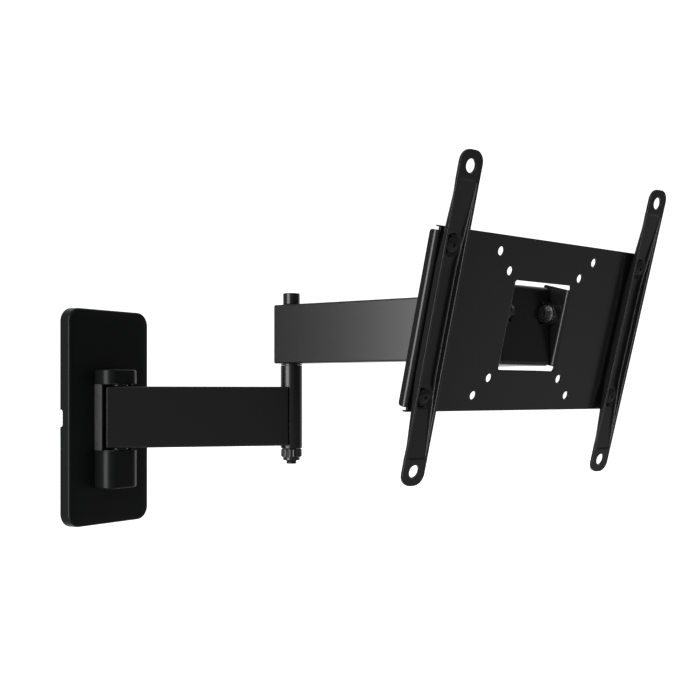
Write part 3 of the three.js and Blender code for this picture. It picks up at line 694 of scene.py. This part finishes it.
place("wall_plate", wall_plate(), WALL)
place("hinge_housing", hinge_housing(), WALL)
place("wall_cover", wall_cover(), WALL)
place("upper_hinge_cap", hinge_cap(HINGE_GAP_HALF + GAP, UPPER_CAP_TOP), WALL)
place("lower_hinge_cap", hinge_cap(-HINGE_GAP_HALF - GAP, LOWER_CAP_BOTTOM), WALL)
place("wall_hinge_bolt", moved(hinge_pin(), y=HINGE_Y), WALL)
place("wall_hinge_nut", moved(hinge_nut(), y=HINGE_Y), WALL)

# Arms -----------------------------------------------------------------------------------------------


def arm_tube(start, end):
    """A rectangular steel tube along X with eased ends."""
    rim = 0.45
    wall = TUBE_WALL
    outer = centred_rectangle(ARM_HALF_WIDTH, ARM_HALF_HEIGHT, TUBE_CORNER, 6)
    inner = centred_rectangle(ARM_HALF_WIDTH - wall, ARM_HALF_HEIGHT - wall, 0.6, 4)
    return side([outer, inner], start, end, rim, 3)


def drill(radius, x):
    """A cutter through the top and bottom walls of a tube."""
    wall = TUBE_WALL
    top = bore(radius, ARM_HALF_HEIGHT - wall, ARM_HALF_HEIGHT)
    bottom = bore(radius, -ARM_HALF_HEIGHT, -ARM_HALF_HEIGHT + wall)
    return moved(laid_beside(top, bottom), x=x)


def tube_plug(mouth, inwards):
    """A pressed-in plug with a shallow dished face."""
    thickness = 2
    dish_depth = 0.7
    border = 1.6
    half = ARM_HALF_WIDTH - TUBE_WALL - GAP
    half_height = ARM_HALF_HEIGHT - TUBE_WALL - GAP
    left, right = sorted((mouth, mouth + thickness * inwards))
    body = side([centred_rectangle(half, half_height, 1.0)], left, right, 0.3)
    dish_left, dish_right = sorted((mouth - inwards, mouth + dish_depth * inwards))
    inner = centred_rectangle(half - border, half_height - border, border)
    return cut(body, side([inner], dish_left, dish_right, 0.25))


WASHER_THICKNESS = 1.1


def gap_washer(direction):
    """A washer above (1) or below (-1) the end of a tube."""
    near = ARM_HALF_HEIGHT + GAP
    bottom, top = sorted((direction * near, direction * (near + WASHER_THICKNESS)))
    return ring(6.6, M8_HOLE, bottom, top, 0.3, 64)


BUSH_HOLE = 6.3
PIN_RADIUS = 5
PIN_HOLE = 5.3
POST_RADIUS = 9
POST_BORE = 6.9
POST_BOTTOM = -26.6
THRUST_WASHER = 0.9
POST_TOP = ARM_STEP - ARM_HALF_HEIGHT - THRUST_WASHER - 2 * GAP


def lower_arm_tube():
    tube = arm_tube(-ARM_OVERHANG, LOWER_ARM_LENGTH - 5)
    notch = moved(disc(POST_RADIUS + GAP, -40, 40, 0.1, 96), x=LOWER_ARM_LENGTH)
    return cut(tube, drill(BUSH_HOLE, 0), notch)


def elbow_post():
    """The round tube welded into the arm's notched end."""
    return moved(ring(POST_RADIUS, POST_BORE, POST_BOTTOM, POST_TOP, 0.6, 96), x=LOWER_ARM_LENGTH)


place("lower_arm_tube", lower_arm_tube(), LOWER)
place("elbow_post", elbow_post(), LOWER)
place("lower_arm_end_plug", tube_plug(-ARM_OVERHANG, 1), LOWER)
place("wall_washer_top", gap_washer(1), LOWER)
place("wall_washer_bottom", gap_washer(-1), LOWER)


def upper_arm_tube():
    tube = arm_tube(-ARM_OVERHANG, UPPER_ARM_LENGTH + ARM_OVERHANG)
    return cut(tube, drill(PIN_HOLE, 0), drill(BUSH_HOLE, UPPER_ARM_LENGTH))


PIN_TOP = ARM_HALF_HEIGHT + 6
PIN_SHOULDER = POST_BOTTOM - ARM_STEP
PIN_END = PIN_SHOULDER - 12.9


def elbow_pin():
    """The pin, with a threaded end below the nut."""
    crest = 4.3
    root = 3.85
    shaft = [(0, PIN_TOP), (PIN_RADIUS, PIN_TOP), (PIN_RADIUS, PIN_SHOULDER), (crest, PIN_SHOULDER)]
    return lathe([*shaft, *thread(crest, root, PIN_SHOULDER - 0.6, PIN_END), (0, PIN_END)], 48)


def elbow_top_cap():
    """The round cap over the pin's upper end."""
    radius = 7
    bottom = ARM_HALF_HEIGHT + GAP
    top = ARM_HALF_HEIGHT + 9.7
    ceiling = PIN_TOP + GAP
    profile = [
        (0, ceiling), (PIN_HOLE, ceiling), (PIN_HOLE, bottom), (radius, bottom), (radius, top), (0, top),
    ]
    return lathe(softened(profile, 0.7, 3, closed=False), 72)


def elbow_nut():
    """The ribbed adjusting nut under the post, with a plain collar below its ribs."""
    top = PIN_SHOULDER - GAP
    ribs = 18
    per_rib = 8
    count = ribs * per_rib

    def scalloped(root, tip, z):
        points = []
        for i in range(count):
            angle = 2 * math.pi * i / count
            wave = 0.5 + 0.5 * math.cos(angle * ribs)
            radius = root + (tip - root) * wave ** 1.6
            points.append((radius * math.cos(angle), radius * math.sin(angle), z))
        return points

    # Root and tip of the ribs, and depth below the nut's top
    hole = 4.6
    profile = [
        (hole, hole, 0), (7.6, 7.6, 0), (8.0, 8.1, 0.4), (8.0, 8.62, 1.0),
        (8.0, 8.62, 6.2), (8.0, 8.1, 6.8), (7.6, 7.6, 7.2), (7.0, 7.0, 7.3),
        (7.0, 7.0, 9.2), (6.5, 6.5, 9.7), (hole, hole, 9.7),
    ]
    return loft([scalloped(root, tip, top - depth) for root, tip, depth in profile], capped=False)


thrust_top = -ARM_HALF_HEIGHT - GAP
place("upper_arm_tube", upper_arm_tube(), UPPER)
place("upper_arm_rear_plug", tube_plug(-ARM_OVERHANG, 1), UPPER)
place("upper_arm_front_plug", tube_plug(UPPER_ARM_LENGTH + ARM_OVERHANG, -1), UPPER)
place("elbow_pin", elbow_pin(), UPPER)
place("elbow_top_cap", elbow_top_cap(), UPPER)
place("elbow_adjusting_nut", elbow_nut(), UPPER)
thrust_washer = ring(POST_RADIUS, PIN_HOLE, thrust_top - THRUST_WASHER, thrust_top, 0.2, 72)
place("elbow_thrust_washer", thrust_washer, UPPER)

# Swivel bracket ------------------------------------------------------------------------------------------

WEB_FRONT = -25.9
SHEET = 3
BRACKET_HALF_WIDTH = 26.4
BRACKET_HALF_HEIGHT = 28.9
PIVOT_FORWARD = 26.6
PIVOT_RISE = 9.4
TONGUE = 14  # radius of the lugs round the swivel bolt


def bracket_channel():
    """Web and two lugs as one folded channel, seen from its side."""
    outer = 3.4
    inner = outer - SHEET
    tall = BRACKET_HALF_HEIGHT
    back = TONGUE
    front = WEB_FRONT
    return [
        (back, -tall), (back, -tall + SHEET),
        *arc(front + outer, -tall + outer, inner, 270, 180, 4),
        *arc(front + outer, tall - outer, inner, 180, 90, 4),
        (back, tall - SHEET), (back, tall),
        *arc(front + outer, tall - outer, outer, 90, 180, 8),
        *arc(front + outer, -tall + outer, outer, 180, 270, 8),
    ]


def bracket_plan():
    """The bracket's outline from above: a wide web and a rounded tongue round the swivel bolt."""
    wide = BRACKET_HALF_WIDTH
    right = [
        (wide, WEB_FRONT - 1), (wide, WEB_FRONT + SHEET), (24, WEB_FRONT + 4), (24, -20), (TONGUE, -6),
    ]
    left = [(-x, y) for x, y in reversed(right)]
    return [*right, *arc(0, 0, TONGUE, 0, 180, 20), *left]


def bracket_cheek(x):
    """A side cheek with a rounded lobe round the tilt bolt."""
    lobe = 8
    back = -12
    tall = 22
    corner = 2.5
    inside_web = WEB_FRONT + 0.4
    outline = [
        *arc(back - corner, -tall + corner, corner, 270, 360, 4),
        *arc(back - corner, tall - corner, corner, 0, 90, 4),
        (inside_web, tall),
        *arc(-PIVOT_FORWARD, PIVOT_RISE, lobe, 84, 276, 18),
        (inside_web, -tall),
    ]
    hole = circle(-PIVOT_FORWARD, PIVOT_RISE, M6_HOLE, 28)
    left, right = sorted((x, x - math.copysign(SHEET, x)))
    return side([outline, hole], left, right, 0.02, 1)


def swivel_bracket():
    half = BRACKET_HALF_WIDTH - 0.1
    channel = side([bracket_channel()], -half, half, 0.01, 1)
    plan = slab([bracket_plan()], -BRACKET_HALF_HEIGHT - 1, BRACKET_HALF_HEIGHT + 1, 0.01, 1)
    body = combine(channel, plan, "INTERSECT")
    inner = BRACKET_HALF_WIDTH - SHEET
    room_half = 8
    room = [rounded_rectangle(inner - 9, PIVOT_RISE - room_half, inner, PIVOT_RISE + room_half, 0.6)]
    for mirror in (1, -1):
        window = panel(room, WEB_FRONT - 1, WEB_FRONT + SHEET + 1, 0.01, 1)
        body = cut(body, turned(window, Matrix.Scale(mirror, 4, (1, 0, 0))))
    body = joined(body, bracket_cheek(BRACKET_HALF_WIDTH), bracket_cheek(-BRACKET_HALF_WIDTH))
    tall = BRACKET_HALF_HEIGHT
    wide = COUNTERSINK + 1.4
    neck = M8 + 0.4
    countersink = lathe([(0, -tall - 1), (wide, -tall - 1), (neck, -tall + SHEET), (neck, 0), (0, 0)], 48)
    body = cut(body, bore(M8_HOLE, tall - SHEET, tall, 0.05), countersink)
    return eased(body, 0.35)


def swivel_bolt():
    """A countersunk bolt, flush with the lower lug, whose threaded end stands above the nut."""
    seat = -BRACKET_HALF_HEIGHT
    end = BRACKET_HALF_HEIGHT + BOLT_TAIL
    socket = 2.2
    socket_floor = seat + 1.6
    thread_start = seat + 50
    profile = [
        (0, socket_floor), (socket, socket_floor), (socket, seat),
        (COUNTERSINK - 0.2, seat), (COUNTERSINK, seat + 0.3), (M8, seat + SHEET),
        *thread(M8, 3.6, thread_start, end), (0, end),
    ]
    return lathe(profile, 48)


def hexagon_nut(radius, hole, bottom, top):
    return cut(hexagon_head(radius, bottom, top), bore(hole, bottom, top, 0.3, 32))


place("swivel_bracket", swivel_bracket(), HEAD)
place("swivel_washer_top", gap_washer(1), HEAD)
place("swivel_washer_bottom", gap_washer(-1), HEAD)
place("swivel_bolt", swivel_bolt(), HEAD)
nut_seat = BRACKET_HALF_HEIGHT + GAP
place("swivel_nut", hexagon_nut(M8_NUT, M8_HOLE, nut_seat, nut_seat + 6.5), HEAD)

# Tilting head ---------------------------------------------------------------------------------------------

PLATE_THICKNESS = 2
PLATE_HALF_WIDTH = 112.5
PLATE_HALF_HEIGHT = 61
FLANGE_DEPTH = 6.5
FLANGE_HALF_HEIGHT = 58
WINDOW_HALF = 28.4
RELIEF_HALF_WIDTH = 30
RELIEF_HEIGHT = 3.3
EAR_DEPTH = 24
BEND_RADIUS = 3
BEND_LENGTH = math.pi / 2 * (BEND_RADIUS - PLATE_THICKNESS / 2)
FACE_EDGE = PLATE_HALF_WIDTH - BEND_RADIUS  # where the flange's bend starts
EAR_EDGE = WINDOW_HALF + BEND_RADIUS  # where the ear's bend starts
FLANGE_END = FACE_EDGE + BEND_LENGTH + FLANGE_DEPTH - BEND_RADIUS
EAR_END = EAR_EDGE - BEND_LENGTH - (EAR_DEPTH - BEND_RADIUS)
VESA_HOLE = 3.1
VESA_SQUARES = (75, 100)
EAR_CORNERS = (1.5, 7)  # of an ear's upper and lower free corner
RELIEF_CORNER = 1.5


def mirrored_outline(upper, lower=()):
    """A closed outline from its upper right quarter, top to side, and its lower one drawn the same way."""
    right = upper + [(x, -z) for x, z in reversed(lower or upper)]
    return [(x, z) for x, z in reversed(right)] + [(-x, z) for x, z in right]


def flat_plate():
    """The plate before folding: its face, two flanges, and two ears inside the window."""
    hook = FACE_EDGE + 2.4  # the lip left beyond the relief at each corner
    notch_top = 60
    foot = 2.2
    outline = mirrored_outline([
        (hook, PLATE_HALF_HEIGHT), (hook, notch_top), (FACE_EDGE, notch_top),
        (FACE_EDGE, FLANGE_HALF_HEIGHT),
        *reversed(arc(FLANGE_END - foot, FLANGE_HALF_HEIGHT - foot, foot, 0, 90, 4)),
    ])
    relief_x = RELIEF_HALF_WIDTH - RELIEF_CORNER
    relief_z = WINDOW_HALF + RELIEF_HEIGHT - RELIEF_CORNER
    upper, lower = [
        [
            *reversed(arc(relief_x, relief_z, RELIEF_CORNER, 0, 90, 4)),
            (RELIEF_HALF_WIDTH, WINDOW_HALF),
            *arc(EAR_END + corner, WINDOW_HALF - corner, corner, 90, 180, 5),
        ]
        for corner in EAR_CORNERS
    ]
    window = mirrored_outline(upper, lower)
    holes = []
    for x in (-1, 1):
        for z in (-1, 1):
            holes += [circle(x * square / 2, z * square / 2, VESA_HOLE, 36) for square in VESA_SQUARES]
            holes.append(circle(x * BAR_SPACING / 2, z * BAR_SCREW_Z, M6_HOLE, 32))
        tilt_hole = EAR_EDGE - BEND_LENGTH - (PLATE_FORWARD - BEND_RADIUS)
        holes.append(circle(x * tilt_hole, PLATE_DROP, M6_HOLE, 32))
    return slab([outline, window, *holes], -PLATE_THICKNESS, 0, 0.35)


def folded(x, depth, start):
    """Where a point of the flat sheet goes that lies start or further along a bend."""
    radius = BEND_RADIUS - depth
    neutral = BEND_RADIUS - PLATE_THICKNESS / 2
    angle = min(max((x - start) / neutral, 0), math.pi / 2)
    beyond = max(x - start - BEND_LENGTH, 0)
    return start + radius * math.sin(angle), BEND_RADIUS - radius * math.cos(angle) + beyond


def tv_plate():
    """The plate with its flanges and ears folded back from the flat sheet."""
    bm = turned(flat_plate(), TO_PANEL)
    lines = []
    steps = 8
    for i in range(steps + 1):
        lines += [FACE_EDGE + BEND_LENGTH * i / steps, EAR_EDGE - BEND_LENGTH * i / steps]
    for line in lines:
        for mirror in (1, -1):
            every = list(bm.verts) + list(bm.edges) + list(bm.faces)
            bmesh.ops.bisect_plane(bm, geom=every, plane_co=(mirror * line, 0, 0), plane_no=(1, 0, 0))
    for level_z in (WINDOW_HALF, WINDOW_HALF + 1.1, WINDOW_HALF + 2.2, WINDOW_HALF + RELIEF_HEIGHT):
        for mirror in (1, -1):
            every = list(bm.verts) + list(bm.edges) + list(bm.faces)
            bmesh.ops.bisect_plane(bm, geom=every, plane_co=(0, 0, mirror * level_z), plane_no=(0, 0, 1))
    for vertex in bm.verts:
        x, depth, z = vertex.co
        across = abs(x)
        if across > FACE_EDGE:
            across, depth = folded(across, depth, FACE_EDGE)
        elif across < EAR_EDGE and abs(z) < WINDOW_HALF + RELIEF_HEIGHT - 1e-4:
            turned_x, turned_depth = folded(-across, depth, -EAR_EDGE)
            share = min(max((WINDOW_HALF + RELIEF_HEIGHT - abs(z)) / RELIEF_HEIGHT, 0), 1)
            share = share * share * (3 - 2 * share)
            across = across + (-turned_x - across) * share
            depth = depth + (turned_depth - depth) * share
        vertex.co = (math.copysign(across, x), depth, z)
    return bm


BAR_HALF_LENGTH = 110
BAR_HALF_WIDTH = 10
BAR_SHEET = 2
BAR_FLOOR = 2.3  # where the web of a bar lies flat, forward of the plate
BAR_END_RADIUS = 8
TAB_HOLE = 4.4
POCKET_END = 92
POCKET_STEP = 0.6
POCKET_WALL = 1.6  # length of the step at the pocket's end
RAMP_SLOPE = 0.08
DISH_RADIUS = 7.8
DISH_EDGE = 1.6


def smooth(value):
    t = min(max(value, 0), 1)
    return t * t * (3 - 2 * t)


def web_level(z):
    """Height of a bar's web over the plate: a small step down from the tab, then a long ramp."""
    ramp_start = POCKET_END - POCKET_WALL
    step = POCKET_STEP * smooth((POCKET_END - abs(z)) / POCKET_WALL)
    ramp = RAMP_SLOPE * max(ramp_start - abs(z), 0)
    return max(BAR_DEPTH - 0.02 - step - ramp, BAR_FLOOR)


def dish_drop(x, z):
    """How far a screw's dish lies below the web around it."""
    distance = math.hypot(x, abs(z) - BAR_SCREW_Z)
    return (web_level(z) - BAR_FLOOR) * smooth((DISH_RADIUS - distance) / DISH_EDGE)


def bar_section(half, z):
    """A section across a bar at height z: a channel with its rims forward."""
    rim = BAR_DEPTH
    web = web_level(z)
    rise = rim - web
    edge = 0.3
    lip = min(0.9, rise * 0.45)
    inside = min(1.3, rise * 0.45)
    bend = edge + 2.7 * smooth(rise / 1.5)
    corner = 3
    into_corner = corner - min(max(POCKET_END - abs(z), 0), corner)
    flange = BAR_SHEET + corner - math.sqrt(corner ** 2 - into_corner ** 2)
    flange = min(flange, half - 0.3)
    steps = 5
    columns = 14
    reach = half - flange - inside
    back = half - bend
    outline = [
        *reversed(arc(half - edge, rim - edge, edge, 0, 90, 3)),
        *reversed(arc(half - bend, web - BAR_SHEET + bend, bend, 270, 360, steps)),
    ]
    for i in range(1, columns):
        x = back - 2 * back * i / columns
        outline.append((x, web - BAR_SHEET - dish_drop(x, z)))
    outline += [
        *reversed(arc(-half + bend, web - BAR_SHEET + bend, bend, 180, 270, steps)),
        *reversed(arc(-half + edge, rim - edge, edge, 90, 180, 3)),
    ]
    inner = [
        *reversed(arc(-half + flange - lip, rim - lip, lip, 0, 90, steps)),
        *arc(-half + flange + inside, web + inside, inside, 180, 270, steps),
        *[(-reach + 2 * reach * i / columns, web) for i in range(1, columns)],
        *arc(half - flange - inside, web + inside, inside, 270, 360, steps),
        *reversed(arc(half - flange + lip, rim - lip, lip, 90, 180, steps)),
    ]
    for x, height in inner:
        share = min(max((rim - height) / rise, 0), 1)
        outline.append((x, height - dish_drop(x, z) * share * share))
    return [(x, -height, z) for x, height in outline]


def bar_stations():
    """Heights and half widths of the sections, close together where the shape changes."""
    radius = BAR_END_RADIUS
    straight_end = BAR_HALF_LENGTH - radius
    upper = []
    for first, last, step in ((0, 33, 8.25), (33, 40.5, 1.5), (40.5, 60, 0.75), (60, 88.5, 3),
                              (88.5, POCKET_END + 0.6, 0.3), (POCKET_END + 0.6, straight_end, 3)):
        count = round((last - first) / step)
        upper += [(first + (last - first) * i / count, BAR_HALF_WIDTH) for i in range(count)]
    for i in range(10):
        angle = math.radians(9.7 * i)
        upper.append((straight_end + radius * math.sin(angle),
                      BAR_HALF_WIDTH - radius + radius * math.cos(angle)))
    return [(-z, half) for z, half in reversed(upper[1:])] + upper


def vesa_bar():
    """A pressed channel that rises to a flat tab at each end, with a dish round each screw."""
    bar = loft([bar_section(half, z) for z, half in bar_stations()])
    for end in (1, -1):
        tab_hole = turned(bore(TAB_HOLE, BAR_DEPTH - BAR_SHEET, BAR_DEPTH, 0.3, 48), TO_PANEL)
        screw_hole = turned(bore(M6_HOLE, BAR_FLOOR - BAR_SHEET, BAR_FLOOR, 0.2, 32), TO_PANEL)
        bar = cut(bar, moved(tab_hole, z=end * BAR_SPACING / 2), moved(screw_hole, z=end * BAR_SCREW_Z))
    return bar


def bar_screw():
    """A pan-headed screw with a cross recess, sitting in the bar's dish."""
    seat = 2.6
    tail = -8
    recess = 1.6
    head = lathe([
        (0, tail), (2.7, tail), (M6, tail + 0.4), (M6, seat), (5.2, seat), (5.5, seat + 0.5),
        (5.3, seat + 1.3), (4.6, seat + 2.0), (3.2, seat + 2.45), (1.6, seat + 2.6), (0, seat + 2.6),
    ], 56)
    for turn in (0, 90):
        arm = slab([rounded_rectangle(-recess, -0.45, recess, 0.45, 0.3)], seat + 1.2, seat + 4, 0.05)
        head = cut(head, turned(arm, Matrix.Rotation(math.radians(turn), 4, "Z")))
    return turned(head, TO_PANEL)


def bar_nut():
    seat = PLATE_THICKNESS + GAP
    nut = hexagon_nut(M6_NUT, M6_HOLE, seat, seat + 4)
    return turned(nut, Matrix.Rotation(math.radians(-90), 4, "X"))


TO_RIGHT = Matrix.Rotation(math.radians(90), 4, "Y")  # a piece turned about Z becomes one about X


def tilt_fasteners():
    """Bolt, nut, zinc washer and friction disc of the right side, along X."""
    ear_outer = WINDOW_HALF + PLATE_THICKNESS
    cheek_inner = BRACKET_HALF_WIDTH - SHEET
    head_start = ear_outer + GAP
    end = cheek_inner - BOLT_TAIL
    flange = 5.6
    shank = lathe([
        (0, end), (2.6, end), (M6, end + 0.4), (M6, head_start), (flange, head_start),
        (flange, head_start + 0.5), (5.0, head_start + 0.8), (0, head_start + 0.8),
    ], 40)
    bolt = laid_beside(shank, hexagon_head(M6_NUT, head_start + 0.6, head_start + 3.6))
    washer_end = cheek_inner - GAP
    washer_start = washer_end - WASHER_THICKNESS
    nut_end = washer_start - GAP
    nut = turned(hexagon_nut(M6_NUT, M6_HOLE, -nut_end, -nut_end + 5), Matrix.Rotation(math.pi, 4, "X"))
    return {
        "tilt_bolt": bolt,
        "tilt_nut": nut,
        "tilt_washer": ring(6.3, M6_HOLE, washer_start, washer_end, 0.25, 56),
        "tilt_friction_disc": ring(8, M6_HOLE, BRACKET_HALF_WIDTH + GAP, WINDOW_HALF - GAP, 0.2, 56),
    }


place("tv_plate", tv_plate(), PLATE)
for side_name, direction in (("left", -1), ("right", 1)):
    here = Matrix.Translation((direction * BAR_SPACING / 2, 0, 0))
    place("vesa_bar_" + side_name, vesa_bar(), PLATE @ here)
    for level_name, z in (("upper", BAR_SCREW_Z), ("lower", -BAR_SCREW_Z)):
        at = PLATE @ here @ Matrix.Translation((0, 0, z))
        place(f"bar_screw_{side_name}_{level_name}", bar_screw(), at)
        place(f"bar_nut_{side_name}_{level_name}", bar_nut(), at)
    mirror = Matrix.Scale(direction, 4, (1, 0, 0))
    for name, bm in tilt_fasteners().items():
        place(f"{name}_{side_name}", turned(turned(bm, TO_RIGHT), mirror), TILT)

# CAD nodes that stay: the pieces inside the joints ----------------------------------------------

for name, node in frame["nodes"].items():
    if node.hide_render:
        continue
    node.data.materials.clear()
    node.data.materials.append(MATERIALS[SLOT_OF[name]])
    ease = node.modifiers.new("ease", "BEVEL")
    ease.width = 0.2 * MM
    ease.segments = 2
    ease.limit_method = "ANGLE"
    ease.angle_limit = math.radians(40)
    node.data.polygons.foreach_set("use_smooth", [True] * len(node.data.polygons))
    node.data.set_sharp_from_angle(angle=math.radians(40))

# Camera, lights and stage ---------------------------------------------------------------------------

scene = bpy.context.scene
scene.view_settings.view_transform = "Standard"
scene.view_settings.look = "None"

VIEW_AZIMUTH = -54.66  # degrees; 0 looks along +Y
camera_data = bpy.data.cameras.new("camera")
camera_data.lens = 52.76
camera_data.sensor_width = 36
camera_data.shift_y = 0.0613
camera_data.clip_start = 0.01
camera = bpy.data.objects.new("camera", camera_data)
camera.location = (-0.5584, -0.6412, 0.0191)
camera.rotation_euler = (math.radians(90), 0, math.radians(VIEW_AZIMUTH))
scene.collection.objects.link(camera)
scene.camera = camera


def area_light(name, location, target, width, height, radiance):
    """A soft box of an even radiance, not seen by the camera."""
    light = bpy.data.lights.new(name, "AREA")
    light.shape = "RECTANGLE"
    light.size = width
    light.size_y = height
    light.energy = radiance * math.pi * width * height
    lamp = bpy.data.objects.new(name, light)
    lamp.location = location
    lamp.rotation_euler = (Vector(target) - Vector(location)).to_track_quat("-Z", "Y").to_euler()
    lamp.visible_camera = False
    scene.collection.objects.link(lamp)
    return lamp


area_light("key", (-2.0, 0.105, 0.05), (0.0, 0.105, 0.05), 1.33, 3.2, 6.0)

world = bpy.data.worlds.new("studio")
world.use_nodes = True
scene.world = world
tree = world.node_tree
background = tree.nodes["Background"]


def world_node(kind, *inputs, **settings):
    """A node of the world with its inputs given as values or as other nodes' outputs."""
    node = tree.nodes.new(kind)
    for key, value in settings.items():
        setattr(node, key, value)
    for socket, value in zip(node.inputs, inputs):
        if isinstance(value, bpy.types.NodeSocket):
            tree.links.new(value, socket)
        else:
            socket.default_value = value
    return node.outputs[0]


BACKDROP_WAY = (0.8157, 0.5785, 0.0)  # towards the white backdrop behind the object
direction = world_node("ShaderNodeTexCoord")
towards = tree.nodes.new("ShaderNodeVectorMath")
towards.operation = "DOT_PRODUCT"
tree.links.new(direction, towards.inputs[0])
towards.inputs[1].default_value = BACKDROP_WAY
height = tree.nodes.new("ShaderNodeSeparateXYZ")
tree.links.new(direction, height.inputs[0])
behind = world_node("ShaderNodeMapRange", towards.outputs["Value"], 0.36, 0.62, 0.0, 1.0,
                    interpolation_type="SMOOTHSTEP")
below = world_node("ShaderNodeMapRange", height.outputs["Z"], 0.0, -0.30, 0.0, 1.0,
                   interpolation_type="SMOOTHSTEP")
above = world_node("ShaderNodeMapRange", height.outputs["Z"], 0.2, 0.8, 0.0, 1.0,
                   interpolation_type="SMOOTHSTEP")
dim = world_node("ShaderNodeMath", below, 0.20, 0.13, operation="MULTIPLY_ADD")
room = world_node("ShaderNodeMath", above, 0.25, dim, operation="MULTIPLY_ADD")
bright = world_node("ShaderNodeMath", behind, room, operation="MAXIMUM")
tree.links.new(bright, background.inputs["Strength"])
background.inputs["Color"].default_value = (1, 1, 1, 1)

floor_mesh = bpy.data.meshes.new("floor")
FLOOR_Z = -0.45
FLOOR_HALF = 8
BACKDROP_RADIUS = 12
floor_mesh.from_pydata(
    [(x * FLOOR_HALF, y * FLOOR_HALF, FLOOR_Z) for x, y in ((-1, -1), (1, -1), (1, 1), (-1, 1))],
    [], [(0, 1, 2, 3)])
floor = bpy.data.objects.new("floor", floor_mesh)
scene.collection.objects.link(floor)

backdrop_mesh = bpy.data.meshes.new("white_backdrop")
ball = bmesh.new()
bmesh.ops.create_icosphere(ball, subdivisions=3, radius=BACKDROP_RADIUS)
bmesh.ops.reverse_faces(ball, faces=ball.faces)
ball.to_mesh(backdrop_mesh)
ball.free()
backdrop = bpy.data.objects.new("white_backdrop", backdrop_mesh)
scene.collection.objects.link(backdrop)

pale = bpy.data.materials.new("pale_stage")
pale.use_nodes = True
pale_shader = pale.node_tree.nodes["Principled BSDF"]
pale_shader.inputs["Base Color"].default_value = (0.9, 0.9, 0.9, 1)
pale_shader.inputs["Specular IOR Level"].default_value = 0
pale_shader.inputs["Emission Color"].default_value = (1, 1, 1, 1)
pale_shader.inputs["Emission Strength"].default_value = 0.99
for thing in (floor, backdrop):
    thing.data.materials.append(pale)
    thing.visible_diffuse = False
    thing.visible_glossy = False
    thing.visible_shadow = False
